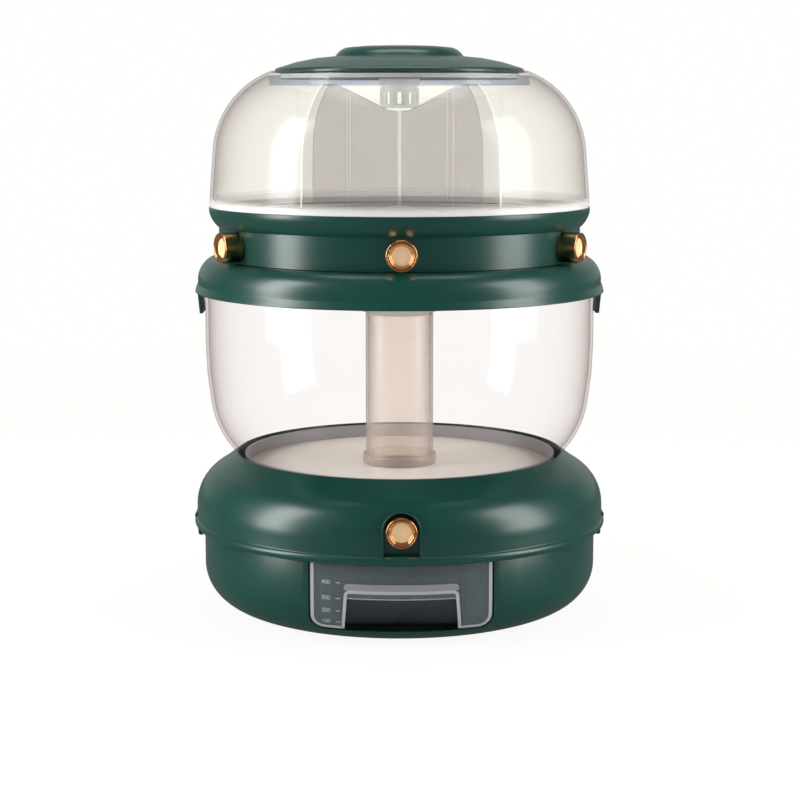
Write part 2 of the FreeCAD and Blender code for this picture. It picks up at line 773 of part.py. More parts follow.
lip_in = s.bowl_radius + 0.7
shoulder = turned("base_shoulder", (
    (bead_middle, lip_low),
    (shoulder_radius, lip_low + bead + bead_rise, bead),
    (shoulder_radius, side_top),
    (arc_end[0], arc_end[1], s.shoulder_arc),
    (opening_radius, lip_low + s.shoulder_rise),
    (opening_radius, tub_low + FOOT_SEAT),
    (s.spigot_radius - SEAT_INSET, tub_low + FOOT_SEAT),
    (s.spigot_radius - SEAT_INSET, floor_low - PLATE_SEAT),
    (post_circle - TUB_INSET, floor_low - PLATE_SEAT),
    (post_circle - TUB_INSET, tub_low),
    (tub_out, tub_low),
    (tub_out, inner_end[1] + (inner_end[0] - tub_out) * slope),
    inner_end,
    (inside_side, side_top, -inner_arc),
    (inside_side, bowl_rim + s.shoulder_wall),
    (tongue - TONGUE_WIDTH, bowl_rim + s.shoulder_wall),
    (tongue - TONGUE_WIDTH, bowl_rim - TONGUE_DROP),
    (tongue, bowl_rim - TONGUE_DROP),
    (tongue, bowl_rim),
    (lip_in, bowl_rim),
    (lip_in, lip_low),
))
SLEEVE_WALL = 2.0
base_axis = s.base_button_height
recess_floor = boss_out - s.boss_depth


def arch(radius, low):
    """An outline with a half-round top about the base button's axis."""
    return (
        (-radius, low), (radius, low), (radius, base_axis),
        (0, base_axis + radius, radius), (-radius, base_axis, radius),
    )


boss = new_sketch(shoulder, "XZ_Plane", recess_floor - s.shoulder_wall)
add_loop(boss, arch(s.boss_radius, bowl_rim + 0.1))
add_pad(shoulder, boss, s.boss_depth + s.shoulder_wall)
sleeve = new_sketch(shoulder, "XZ_Plane", recess_floor - s.shoulder_wall - s.sleeve_length)
add_circle(sleeve, 0, base_axis, s.button_radius + SLEEVE_WALL)
add_pad(shoulder, sleeve, s.shoulder_wall + s.sleeve_length)
recess = new_sketch(shoulder, "XZ_Plane", recess_floor + s.boss_depth)
add_loop(recess, arch(s.boss_recess, lip_top))
add_pocket(shoulder, recess, s.boss_depth * 2)
hole = new_sketch(shoulder, "XZ_Plane", recess_floor)
add_circle(hole, 0, base_axis, s.button_radius + s.button_fit)
add_pocket(shoulder, hole, (s.shoulder_wall + s.sleeve_length + s.boss_depth) * 2)
feet_up = new_sketch(shoulder, "XY_Plane", s.post_top + GAP)
for x, y in round_places(post_circle):
    add_circle(feet_up, x, y, s.post_radius)
add_pad(shoulder, feet_up, tub_low - s.post_top)
cut_round(
    shoulder, round_places(post_circle), s.screw_radius + SCREW_PLAY,
    s.post_top - 2, s.screw_seat + s.screw_length + 2,
)
slot_half = s.latch_width / 2 + s.latch_side_gap
lower_pivot = (lip_radius - 3.4, lip_low + 3.4)
upper_pivot = (ring_radius - 1.8, ring_low + 4.7)
PIN_SEAT = 1.0


def add_pins(body, pivot):
    """The two moulded pins, one at each side, that a latch turns on."""
    pins = new_sketch(body, "XZ_Plane", -slot_half - PIN_SEAT)
    for side in (-1, 1):
        add_circle(pins, pivot[0] * side, pivot[1], s.pin_radius)
    add_pad(body, pins, (slot_half + PIN_SEAT) * 2)


for side in (-1, 1):
    inner = (lip_in - 1.6) * side
    outer = (lip_radius + CUT_PAST) * side
    left, right = (inner, outer) if side > 0 else (outer, inner)
    cut_block(shoulder, left, right, -slot_half, slot_half, lip_low - 3, lip_top - 0.4)
add_pins(shoulder, lower_pivot)

# The gate guide under the bucket: a deck with a duct to the drawer, and a wall for the spring.

BAR_PLAY = 0.3
SLOT_PLAY = 1.2
DECK = 2.4
RAIL_WALL = 2.0
DUCT_WALL = 1.6
guide_back = -s.base_outlet + 8.5


def gate_levels(axis):
    """Underside and top of the gate that goes with a button's axis."""
    low = axis + s.gate_rise
    return low, low + s.gate_plate


base_gate = gate_levels(base_axis)
deck_top = base_gate[0] - GAP
deck_low = deck_top - DECK
rail = s.gate_width / 2 + GAP
bulk_front = s.cap_length + s.button_travel + 0.8 - base_button_out
bulk_back = bulk_front + s.guide_wall
guide = prism(
    "discharge_guide", "XY_Plane",
    flat_outline(-rail - RAIL_WALL, rail + RAIL_WALL, bulk_back, guide_back), deck_low, deck_top,
)
for side in (-1, 1):
    inner, outer = rail * side, (rail + RAIL_WALL) * side
    left, right = (inner, outer) if side > 0 else (outer, inner)
    add_block(guide, left, right, bulk_front, guide_back, deck_low, base_gate[1] + 0.6)
    add_block(guide, left, right, bulk_front, TUB_INSET - post_circle, deck_low, tub_low)
add_block(
    guide, -rail - RAIL_WALL, rail + RAIL_WALL, bulk_front, bulk_back,
    deck_low - 7, base_gate[1] + 3,
)
bore = s.outlet_width / 2 + 0.4
duct = bore + DUCT_WALL
add_block(
    guide, -duct, duct, -outlet_out - 0.4 - DUCT_WALL, -s.base_outlet + 0.4 + DUCT_WALL,
    bay_high + 0.6, deck_top,
)
cut_block(
    guide, -bore, bore, -outlet_out - 0.4, -s.base_outlet + 0.4,
    bay_high - CUT_PAST, deck_top + CUT_PAST,
)
cut_block(
    guide, -stem_half - BAR_PLAY, stem_half + BAR_PLAY,
    bulk_front - CUT_PAST, bulk_back + 0.5, deck_top, base_gate[1] + BAR_PLAY,
)

# The bucket: a clear turned wall on a spigot, its floor plate, and the seal between them.

SEAL_WALL = 2.4
PLATE_INSET = 2.6
corner_z = floor_top + 10.2
seal_out = s.spigot_radius - PLATE_INSET
waist_z = floor_top + s.waist_rise
side_z = floor_top + s.side_rise
glass = s.bucket_wall
bucket = turned("rice_bucket", (
    (s.spigot_radius - glass, tub_low + FOOT_SEAT + GAP),
    (s.spigot_radius, tub_low + FOOT_SEAT + GAP),
    (s.spigot_radius, corner_z - 2),
    (s.spigot_radius + 1.3, corner_z),
    (waist_radius, waist_z, s.belly_arc),
    (s.bucket_radius, side_z, s.side_arc),
    (s.bucket_radius, bucket_top),
    (s.bucket_radius - glass, bucket_top),
    (s.bucket_radius - glass, side_z),
    (waist_radius - glass, waist_z + 0.3, glass - s.side_arc),
    (s.spigot_radius + 1.3 - glass * 0.8, corner_z + glass * 0.6, glass - s.belly_arc),
    (s.spigot_radius - glass, corner_z - 2),
))
nub = s.latch_width / 2 - 2
for side in (-1, 1):
    inner, outer = (s.bucket_radius - 0.8) * side, (s.bucket_radius + 1.2) * side
    left, right = (inner, outer) if side > 0 else (outer, inner)
    add_block(bucket, left, right, -nub, nub, ring_low + 2.5, ring_low + 4.5)

floor_plate = turned("bucket_floor", (
    (s.tube_radius + GAP, floor_low),
    (seal_out, floor_low),
    (seal_out, floor_top),
    (s.tube_radius + GAP, floor_top),
))
spout = s.outlet_width / 2
add_block(
    floor_plate, -spout - DUCT_WALL, spout + DUCT_WALL, -outlet_out - DUCT_WALL,
    -s.base_outlet + DUCT_WALL, base_gate[1] + GAP, floor_top - 1,
)
cut_block(
    floor_plate, -spout, spout, -outlet_out, -s.base_outlet,
    base_gate[1] - CUT_PAST, floor_top + CUT_PAST,
)

bucket_seal = turned("bucket_seal", (
    (seal_out - SEAL_WALL, floor_top),
    (seal_out, floor_top),
    (seal_out, corner_z - 1),
    (seal_out - SEAL_WALL, corner_z - 1),
))
LEDGE_DROP = 1.8
ledge = ring_top - LEDGE_DROP
funnel_top = ledge + s.funnel_flange
funnel_mouth = ring_hub - 2
funnel_drop = (funnel_mouth - s.tube_radius + s.tube_wall) * tangent(s.funnel_slope)
funnel_low = funnel_top - funnel_drop - s.funnel_wall
TUBE_SEAT = 0.2
COLLAR_ROUND = as_size(0.8)
tube = turned("drop_tube", (
    (s.tube_radius - s.tube_wall, bay_high + GAP),
    (s.tube_radius, bay_high + GAP),
    (s.tube_radius, funnel_low - TUBE_SEAT),
    (s.tube_radius - s.tube_wall, funnel_low - TUBE_SEAT),
))
collar_top = floor_top + s.collar_height
collar = turned("tube_collar", (
    (s.tube_radius + TUBE_SEAT, floor_top),
    (s.collar_radius, floor_top),
    (s.collar_radius, collar_top - COLLAR_ROUND),
    (s.collar_radius - COLLAR_ROUND, collar_top, COLLAR_ROUND),
    (s.tube_radius + TUBE_SEAT, collar_top),
))
funnel = turned("grain_funnel", (
    (s.tube_radius - s.tube_wall, funnel_low),
    (funnel_mouth, funnel_top - s.funnel_wall),
    (ring_hub - GAP, ledge),
    (channel_in - GAP, ledge),
    (channel_in - GAP, funnel_top),
    (funnel_mouth, funnel_top),
    (s.tube_radius - s.tube_wall, funnel_low + s.funnel_wall),
))

# The upper ring: it closes the bucket, holds the bearing and hangs the two upper latches.

skin_in = ring_radius - s.ring_wall
arc_axis = ring_radius - s.ring_arc
ARC_RISE = as_size(15)
arc_start = ring_top - ARC_RISE
flat_edge = arc_axis + square_root(s.ring_arc * s.ring_arc - ARC_RISE * ARC_RISE)
inner_ring_arc = s.ring_arc - s.ring_wall
tongue_out = s.bucket_radius - glass - GAP
tongue_reach = tongue_out - arc_axis
tongue_top = arc_start + square_root(
    inner_ring_arc * inner_ring_arc - tongue_reach * tongue_reach)
TONGUE_IN = 2.5
TONGUE_REACH = 5.3
deck = ring_top - s.ring_wall
channel_floor = ring_top - s.channel_depth
channel_under = channel_floor - s.channel_wall
upper_ring = turned("upper_ring", (
    (ring_radius, ring_low),
    (ring_radius + s.ring_lip, ring_low),
    (ring_radius + s.ring_lip, ring_low + 0.7),
    (ring_radius, ring_low + 5.6),
    (ring_radius, arc_start),
    (flat_edge, ring_top, s.ring_arc),
    (channel_out, ring_top),
    (channel_out, channel_floor),
    (channel_in, channel_floor),
    (channel_in, ledge),
    (ring_hub, ledge),
    (ring_hub, channel_under),
    (channel_out + s.channel_wall, channel_under),
    (channel_out + s.channel_wall, deck),
    (tongue_out - TONGUE_IN, deck),
    (tongue_out - TONGUE_IN, bucket_top - TONGUE_REACH),
    (tongue_out, bucket_top - TONGUE_REACH),
    (tongue_out, tongue_top),
    (skin_in, arc_start, -inner_ring_arc),
    (skin_in, ring_low + 5),
))
for side in (-1, 1):
    inner, outer = (s.bucket_radius + 0.8) * side, (ring_radius + 9) * side
    left, right = (inner, outer) if side > 0 else (outer, inner)
    cut_block(upper_ring, left, right, -slot_half, slot_half, ring_low - 3, ring_low + 8)
add_pins(upper_ring, upper_pivot)
ring_seal = turned("ring_seal", (
    (s.bucket_radius - glass, bucket_top),
    (s.bucket_radius - 0.2, bucket_top),
    (s.bucket_radius - 0.2, bucket_top + 3.2),
    (s.bucket_radius - glass, bucket_top + 3.2),
))

# The bearing: balls in a cage between two grooved races.

race_in = s.race_radius - s.race_width / 2
race_out = s.race_radius + s.race_width / 2
sink = s.groove_sink
ball_z = channel_floor + s.race_height + s.ball_radius - sink
groove_radius = s.ball_radius + 0.5
groove_reach = s.ball_radius - sink + 0.2
groove_half = square_root(groove_radius * groove_radius - groove_reach * groove_reach)
lower_face = ball_z - s.ball_radius + sink
upper_face = ball_z + s.ball_radius - sink
plate_low = neck_low + 0.7
lower_race = turned("lower_race", (
    (race_in, channel_floor), (race_out, channel_floor), (race_out, lower_face),
    (s.race_radius + groove_half, lower_face),
    (s.race_radius - groove_half, lower_face, -groove_radius),
    (race_in, lower_face),
))
upper_race = turned("upper_race", (
    (race_in, upper_face),
    (s.race_radius - groove_half, upper_face),
    (s.race_radius + groove_half, upper_face, -groove_radius),
    (race_out, upper_face), (race_out, plate_low), (race_in, plate_low),
))
CAGE_HALF = 3.5
CAGE_THICK = 0.6
cage = turned("bearing_cage", block_corners(
    s.race_radius - CAGE_HALF, s.race_radius + CAGE_HALF, ball_z - CAGE_THICK, ball_z + CAGE_THICK
))
ball_places = [
    (s.race_radius * math.cos(2 * math.pi * number / BALL_COUNT),
     s.race_radius * math.sin(2 * math.pi * number / BALL_COUNT))
    for number in range(BALL_COUNT)
]
cut_round(cage, ball_places, s.ball_radius + 0.25, ball_z - 2, ball_z + 2)
balls = []
for x, y in ball_places:
    ball = doc.addObject("Part::Sphere", "ball")
    bind(ball, "Radius", s.ball_radius)
    set_place(ball, x, y, ball_z)
    balls.append(ball)
bearing_balls = group("bearing_balls", balls)

# The carousel: plate, neck, gate guide, tray, compartment floor, clear container and dividers.

PLATE = 2.4
plate_top = plate_low + PLATE
neck_in = neck_radius - s.neck_wall
carousel_plate = turned("carousel_plate", (
    (ring_hub - GAP, plate_low), (back_out - GAP, plate_low),
    (back_out - GAP, plate_top), (ring_hub - GAP, plate_top),
))
notch = cut_block(
    carousel_plate, -stem_half - SLOT_PLAY, stem_half + SLOT_PLAY,
    -neck_radius, -guide_radius - 0.2, plate_low - 1, plate_top + 1,
)
repeat_round(carousel_plate, notch, s.gate_count)
carousel_neck = turned("carousel_neck", (
    (neck_in, neck_low), (neck_radius, neck_low),
    (neck_radius, neck_top), (neck_in, neck_top),
))
sleeve_half = s.button_radius + SLEEVE_WALL
blocks = add_block(
    carousel_neck, -sleeve_half, sleeve_half, -neck_in - 0.6, -back_out,
    neck_low + GAP, neck_top - GAP,
)
repeat_round(carousel_neck, blocks, s.gate_count)
bore = new_sketch(carousel_neck, "XZ_Plane", neck_radius)
add_circle(bore, 0, button_axis, s.button_radius + s.button_fit)
bores = add_pocket(carousel_neck, bore, s.button_reach * 2)
repeat_round(carousel_neck, bores, s.gate_count)

gate = gate_levels(button_axis)
guide_deck = gate[0] - GAP
outlet_end = outlet_radius + s.outlet_length
guide_hub = outlet_radius - 8
guide_top = gate[1] + 1.5
gate_guide = turned("gate_guide", (
    (guide_hub, guide_deck - DECK), (guide_in, guide_deck - DECK), (guide_in, plate_top),
    (guide_radius, plate_top), (guide_radius, guide_top), (guide_in, guide_top),
    (guide_in, guide_deck), (guide_hub, guide_deck),
))
for side in (-1, 1):
    inner, outer = rail * side, (rail + 1.8) * side
    left, right = (inner, outer) if side > 0 else (outer, inner)
    rails = add_block(
        gate_guide, left, right, -guide_in + 3, -outlet_radius + 6, guide_deck - 1, gate[1]
    )
    repeat_round(gate_guide, rails, s.gate_count)
window = cut_block(
    gate_guide, -spout, spout, -outlet_end, -outlet_radius, guide_deck - 5, guide_deck + 1
)
repeat_round(gate_guide, window, s.gate_count)
slot = cut_block(
    gate_guide, -stem_half - BAR_PLAY, stem_half + BAR_PLAY,
    -guide_radius - 3, -guide_in + 1, guide_deck, gate[1] + BAR_PLAY,
)
repeat_round(gate_guide, slot, s.gate_count)

ledge_hole = neck_in - s.tray_ledge
tray = turned("carousel_tray", (
    (neck_in, neck_top),
    (neck_radius + 1, neck_top),
    (rim_radius, rim_low, s.flare_arc),
    (rim_radius, rim_top),
    (rim_radius - s.rim_wall, rim_top),
    (rim_radius - s.rim_wall, ledge_top),
    (ledge_hole, ledge_top),
    (ledge_hole, ledge_top - s.tray_wall),
    (neck_in, ledge_top - s.tray_wall),
))

CONE_PAST = 0.6
sheet_wall = s.compartment_floor
flat_out = rim_radius - s.rim_wall - 0.4
cone_out = neck_in + CONE_PAST
cone_low = ledge_top + sheet_wall
cone_peak = cone_low + s.floor_cone
outlet_low = gate[1] + GAP
hopper_low = outlet_low + 5
compartment_floor = turned("compartment_floor", (
    (0, cone_peak - sheet_wall), (cone_out, ledge_top), (flat_out, ledge_top),
    (flat_out, cone_low), (cone_out, cone_low), (0, cone_peak),
))
hopper_rise = ledge_top + 1 - hopper_low


def add_taper(body, grow, low, length, cutting):
    """A hopper, solid or cut away, that flares upwards from the outlet."""
    sketch = new_sketch(body, "XY_Plane", low)
    add_loop(sketch, flat_outline(
        -spout - grow, spout + grow, -outlet_end - grow, -outlet_radius + grow
    ))
    kind = "PartDesign::Pocket" if cutting else "PartDesign::Pad"
    feature = body.newObject(kind, body.Label + "_hopper")
    feature.Profile = sketch
    bind(feature, "Length", length)
    bind(feature, "TaperAngle", s.hopper_angle)
    feature.Reversed = cutting
    body.Tip = feature
    return feature


hopper = add_taper(compartment_floor, DUCT_WALL, hopper_low, hopper_rise, False)
repeat_round(compartment_floor, hopper, s.gate_count)
chute = add_block(
    compartment_floor, -spout - DUCT_WALL, spout + DUCT_WALL, -outlet_end - DUCT_WALL,
    -outlet_radius + DUCT_WALL, outlet_low, hopper_low,
)
repeat_round(compartment_floor, chute, s.gate_count)
hollow = add_taper(compartment_floor, ZERO, hopper_low + 0.6, hopper_rise + 5, True)
repeat_round(compartment_floor, hollow, s.gate_count)
outlet = cut_block(
    compartment_floor, -spout, spout, -outlet_end, -outlet_radius, outlet_low - 1, hopper_low + 1
)
repeat_round(compartment_floor, outlet, s.gate_count)

clear = s.container_wall
dome_in = s.dome_arc - clear
lean = s.dome_draft
dome_x = rim_radius - s.dome_inset - s.dome_arc * cosine(lean)
arc_foot = (dome_x + s.dome_arc * cosine(lean), dome_height + s.dome_arc * sine(lean))
arc_foot_in = (dome_x + dome_in * cosine(lean), dome_height + dome_in * sine(lean))
seat_radius = s.mouth_radius + 5.9
seat_reach = seat_radius - dome_x
crest = dome_height + square_root(s.dome_arc * s.dome_arc - seat_reach * seat_reach)
seat = crest - 1.6
under = seat_radius + 3.7
under_reach = under - dome_x
under_z = dome_height + square_root(dome_in * dome_in - under_reach * under_reach)
skirt_out = rim_radius - s.rim_wall - GAP
container = turned("grain_container", (
    (skirt_out - 1.9, cone_low + GAP),
    (skirt_out, cone_low + GAP),
    (skirt_out, rim_top),
    (arc_foot[0] + (arc_foot[1] - rim_top) * tangent(lean), rim_top),
    arc_foot,
    (seat_radius, crest, s.dome_arc),
    (seat_radius, seat),
    (s.mouth_radius, seat),
    (s.mouth_radius, under_z),
    (under, under_z),
    (arc_foot_in[0], arc_foot_in[1], -dome_in),
    (skirt_out - 0.7, rim_top + 6.5),
    (skirt_out - 1.9, rim_top + 4.5),
))

wall_arc = dome_in - 0.4
HOOP_BITE = 1.02
hoop_top = under_z - GAP
wall_top = hoop_top - s.divider_hoop + HOOP_BITE
wall_rise = wall_top - dome_height
DRYER_PLAY = 1.4
dryer_low = seat - s.dryer_drop - s.dryer_height
wall_end = dome_x + square_root(wall_arc * wall_arc - wall_rise * wall_rise)
divider = new_body("divider")
panel = new_sketch(divider, "XZ_Plane")
add_loop(panel, (
    (0, cone_peak + GAP),
    (cone_out, cone_low + GAP),
    (skirt_out - 2.5, cone_low + GAP),
    (skirt_out - 2.5, rim_top + 5),
    (dome_x + wall_arc * cosine(lean), dome_height + wall_arc * sine(lean)),
    (wall_end, wall_top, wall_arc),
    (hoop_out, wall_top),
    (s.dryer_radius + 2, dryer_low - DRYER_PLAY),
    (0, dryer_low - DRYER_PLAY - 0.5),
))
panels = add_pad(divider, panel, s.divider_wall, both_ways=True)
repeat_round(divider, panels, s.gate_count)
rib_foot = cone_low + s.floor_cone * (1 - s.divider_rib / cone_out)
rib = new_sketch(divider, "XZ_Plane")
add_loop(rib, block_corners(
    s.divider_rib - s.rib_width / 2, s.divider_rib + s.rib_width / 2, rib_foot + 0.5, wall_top - 4
))
ribs = add_pad(divider, rib, s.divider_wall + s.rib_stand * 2, both_ways=True)
repeat_round(divider, ribs, s.gate_count)
divider.Placement = FreeCAD.Placement(
    FreeCAD.Vector(0, 0, 0), FreeCAD.Rotation(UP, FULL_TURN / 2 / GATE_COUNT - FRONT)
)
divider.setExpression("Placement.Rotation.Angle", "180 deg / Sizes.gate_count - 90 deg")
add_turning(divider, block_corners(
    hoop_out - s.divider_wall, hoop_out, hoop_top - s.divider_hoop, hoop_top
))

# The lid: a shallow saucer with a raised grip, its gasket, and the slotted moisture box.

lid_low = seat + 0.2
edge = lid_low + s.lid_edge
grip_low = lid_low + s.lid_rise + 1.3
grip_top = grip_low + s.knob_height
lid_skin = s.lid_wall
skirt = s.mouth_radius - 0.8
lid_cover = turned("lid_cover", (
    (lid_radius, lid_low),
    (lid_radius, edge),
    (lid_radius - 2.1, edge + 1.9, as_size(3)),
    (s.knob_radius, grip_low, s.lid_arc),
    (s.knob_radius - 8.4, grip_top - 1.4, s.grip_side_arc),
    (s.grip_flat, grip_top, s.grip_top_arc),
    (0, grip_top),
    (0, grip_top - lid_skin),
    (s.grip_flat, grip_top - lid_skin),
    (s.knob_radius - 9.4, grip_top - lid_skin - 1.4, as_size(-189.6)),
    (s.knob_radius - 2.8, grip_low - 1, 2 - s.grip_side_arc),
    (s.knob_radius - 2.8, grip_low - lid_skin),
    (skirt - 6.8, edge + 2.7, 3 - s.lid_arc),
    (skirt - 1.8, edge + 1),
    (skirt - 1.8, lid_low - 5),
    (skirt, lid_low - 5),
    (skirt, lid_low),
))
lid_gasket = turned("lid_gasket", block_corners(skirt, skirt + 0.5, lid_low - 4, lid_low - 1))
neck_out = s.dryer_radius + 0.8
holder_top = grip_low - lid_skin - 0.8
holder_low = edge - s.dryer_drop
dryer_holder = turned("dryer_holder", (
    (neck_out - 1.6, holder_low), (neck_out, holder_low),
    (neck_out, holder_top - 1.6), (s.knob_radius - 1.4, holder_top - 1.6),
    (s.knob_radius - 1.4, holder_top), (neck_out - 1.6, holder_top),
))
box_top = holder_low - 1.3
box_low = box_top - s.dryer_height
shell = 1.4
dryer = turned("dryer_box", (
    (0, box_low),
    (s.dryer_radius - 2, box_low),
    (s.dryer_radius, box_low + 2, as_size(2)),
    (s.dryer_radius, box_top),
    (neck_out - 2, box_top),
    (neck_out - 2, box_top + 3),
    (neck_out - 2 - shell, box_top + 3),
    (neck_out - 2 - shell, box_top - shell),
    (s.dryer_radius - shell, box_top - shell),
    (s.dryer_radius - shell, box_low + 2),
    (s.dryer_radius - 2, box_low + shell),
    (0, box_low + shell),
))
SLOTS = 10
slit = new_sketch(dryer, "XZ_Plane", s.dryer_radius)
add_loop(slit, (
    (-1.5, box_low + 3), (1.5, box_low + 3), (1.5, box_top - 4.4), (0, box_top - 2.9, 1.5),
    (-1.5, box_top - 4.4, 1.5),
))
slits = add_pocket(dryer, slit, shell * 4)
repeat_round(dryer, slits, SLOTS)

# Push buttons. One cap is turned about Z with its face at zero, then laid on its side.

rim = s.button_radius
face_in = -s.dish_depth - s.button_wall
cap = turned("button_master", (
    (rim - s.button_wall, -s.cap_length),
    (rim, -s.cap_length),
    (rim, -0.6),
    (rim - 0.6, 0, as_size(0.6)),
    (rim - 1.1, 0),
    (rim - 1.3, -0.6),
    (rim - 1.6, -0.6),
    (rim - 1.8, 0),
    (rim - 2.3, 0),
    (s.dish_radius, -s.dish_depth),
    (0, -s.dish_depth),
    (0, face_in),
    (rim - s.button_wall, face_in),
))
base_face = -base_button_out
top_face = -neck_radius - s.button_reach


def laid_cap(label, face, axis):
    item = group(label, [cap])
    set_place(item, 0, face, axis, FORWARD)
    return item


def slider(label, outlet_in, bar_end, levels):
    """A gate with its window just outside the outlet, on the bar that the button pushes."""
    gate_front = -outlet_in - s.outlet_length - s.button_travel - s.gate_margin
    gate_back = -outlet_in + s.gate_margin
    wide, narrow = s.gate_width / 2, stem_half
    body = prism(label, "XY_Plane", (
        (-wide, gate_front), (-narrow, gate_front), (-narrow, bar_end), (narrow, bar_end),
        (narrow, gate_front), (wide, gate_front), (wide, gate_back), (-wide, gate_back),
    ), levels[0], levels[1])
    shift = s.button_travel + 0.5
    cut_block(
        body, -spout, spout, -outlet_in - s.outlet_length - s.button_travel,
        -outlet_in - shift, levels[0] - 1, levels[1] + 1,
    )
    return body


def spring(label, front, back, height):
    """A return spring, drawn as a sleeve of the same outline, lying along Y."""
    length = back - front
    coil = cylinder(label + "_coil", s.spring_radius, length, 0, back, height, FORWARD)
    core = cylinder(label + "_core", s.spring_radius - 1, length, 0, back, height, FORWARD)
    return cut(label, coil, core)


base_cap = laid_cap("base_button_cap", base_face, base_axis)
base_slider = slider("base_gate", s.base_outlet, base_face - face_in, base_gate)
base_spring = spring("base_spring", base_face - face_in, bulk_front, base_axis - s.spring_drop)
cap_master = laid_cap("cap_master", top_face, button_axis)
gate_master = slider("gate_master", outlet_radius, top_face - face_in, gate)
spring_master = spring(
    "spring_master", top_face - face_in, -guide_radius, button_axis - s.spring_drop
)
nodes = []
for number in range(GATE_COUNT):
    for name, master in (
        ("button_cap", cap_master), ("gate_slider", gate_master), ("button_spring", spring_master)
    ):
        copy = group("%s_%d" % (name, number + 1), [master])
        turn_angle = FULL_TURN / GATE_COUNT * number
        copy.Placement = FreeCAD.Placement(
            FreeCAD.Vector(0, 0, 0), FreeCAD.Rotation(UP, turn_angle)
        )
        if number:
            copy.setExpression(
                "Placement.Rotation.Angle", "360 deg / Sizes.gate_count * %d" % number
            )
        nodes.append(copy)

# Latches. Each is drawn at the +X side, then turned to the other side too.


def latch_body(label, corners, pivot, window=None):
    body = new_body(label)
    sketch = new_sketch(body, "XZ_Plane", -s.latch_width / 2)
    add_loop(sketch, corners)
    add_pad(body, sketch, s.latch_width)
    pin_hole = new_sketch(body, "XZ_Plane")
    add_circle(pin_hole, pivot[0], pivot[1], s.pin_radius + s.pin_gap)
    add_pocket(body, pin_hole, s.latch_width * 2)
    if window:
        gap = new_sketch(body, "XZ_Plane")
        add_loop(gap, window)
        add_pocket(body, gap, s.latch_width * 2)
    return body


ux, uz = upper_pivot
tip = ring_low - s.upper_latch_drop
upper_latch = latch_body("upper_latch_master", (
    (ux - 2, tip), (ux + 0.4, tip), (ux + 1.9, ring_low - 0.3), (ux + 3.3, ring_low + 0.3),
    (ux + 2.9, ring_low + 2.6), (ux + 1.6, uz + 1.2), (ux + 1.1, uz + 2.3), (ux - 1, uz + 2.6),
    (ux - 1.6, uz + 1.4), (ux - 1.6, ring_low + 2.2), (s.bucket_radius + 0.3, ring_low + 2.2),
    (s.bucket_radius + 0.3, ring_low + 0.7), (ux - 0.8, ring_low),
), upper_pivot)
lx, lz = lower_pivot
bottom = lip_low - s.lower_latch_drop
prong = s.bowl_radius + 0.5
lower_latch = latch_body("lower_latch_master", (
    (prong + 1, bottom), (lx - 0.6, bottom), (lx + 0.6, bottom + 1.2, as_size(1.4)),
    (lx + 1.4, lip_low - 0.2),
    (lx + 2.7, lip_low + 1.4), (lx + 3.1, lip_low + 3.2), (lx + 2.9, lz + 1.2),
    (lx + 1.2, lz + 2.7), (lx - 1.2, lz + 2.7), (lx - 2.4, lz + 1.4), (lx - 2.8, lip_low - 0.1),
    (prong, lip_low - 0.6), (prong, groove_high - 1),
    (prong - 1.1, groove_high - 1.4), (prong - 1.1, groove_high - 3.4), (prong, groove_high - 4),
    (prong, bottom + 1),
), lower_pivot, (
    (prong + 1.4, bottom + 2), (lx - 0.9, bottom + 2),
    (lx - 0.4, lip_low - 1.8), (prong + 1.4, lip_low - 1.8),
))
for name, master in (("upper_latch", upper_latch), ("lower_latch", lower_latch)):
    for side, angle in (("right", 0), ("left", 180)):
        copy = group("%s_%s" % (name, side), [master])
        copy.Placement = FreeCAD.Placement(FreeCAD.Vector(0, 0, 0), FreeCAD.Rotation(UP, angle))
        nodes.append(copy)

nodes += [
    bowl, feet, screws, drawer_bay, drawer, shoulder, guide, bucket, floor_plate, bucket_seal,
    tube, collar, funnel, upper_ring, ring_seal, lower_race, upper_race, cage, bearing_balls,
    carousel_plate, carousel_neck, gate_guide, tray, compartment_floor, container, divider,
    lid_cover, lid_gasket, dryer_holder, dryer, base_cap, base_slider, base_spring,
]
doc.recompute()

for item in doc.Objects:
    bad = [word for word in item.State if word in ("Invalid", "Error")]
    if bad:
        raise ValueError("%s: %s" % (item.Name, bad))
os.makedirs("parts", exist_ok=True)
for item in nodes:
    if item.Shape.isNull() or not item.Shape.isValid() or not item.Shape.Solids:
        raise ValueError(item.Label + ": the shape is not a valid solid")
    item.Shape.exportStep("parts/%s.step" % item.Label)
print(len(nodes), "nodes written")
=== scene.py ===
# %% [markdown]
# A rotating rice bucket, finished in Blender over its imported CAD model.
# The CAD model fixes every size, so the first thing is to load it as a frame that is never moved.
# Its nodes come in named, in metres, with the object's front towards -Y. What shows most is then
# modelled again with the soft edges that a mould leaves, and the rest keeps its CAD mesh.

# %% Load the frame
import json
import math

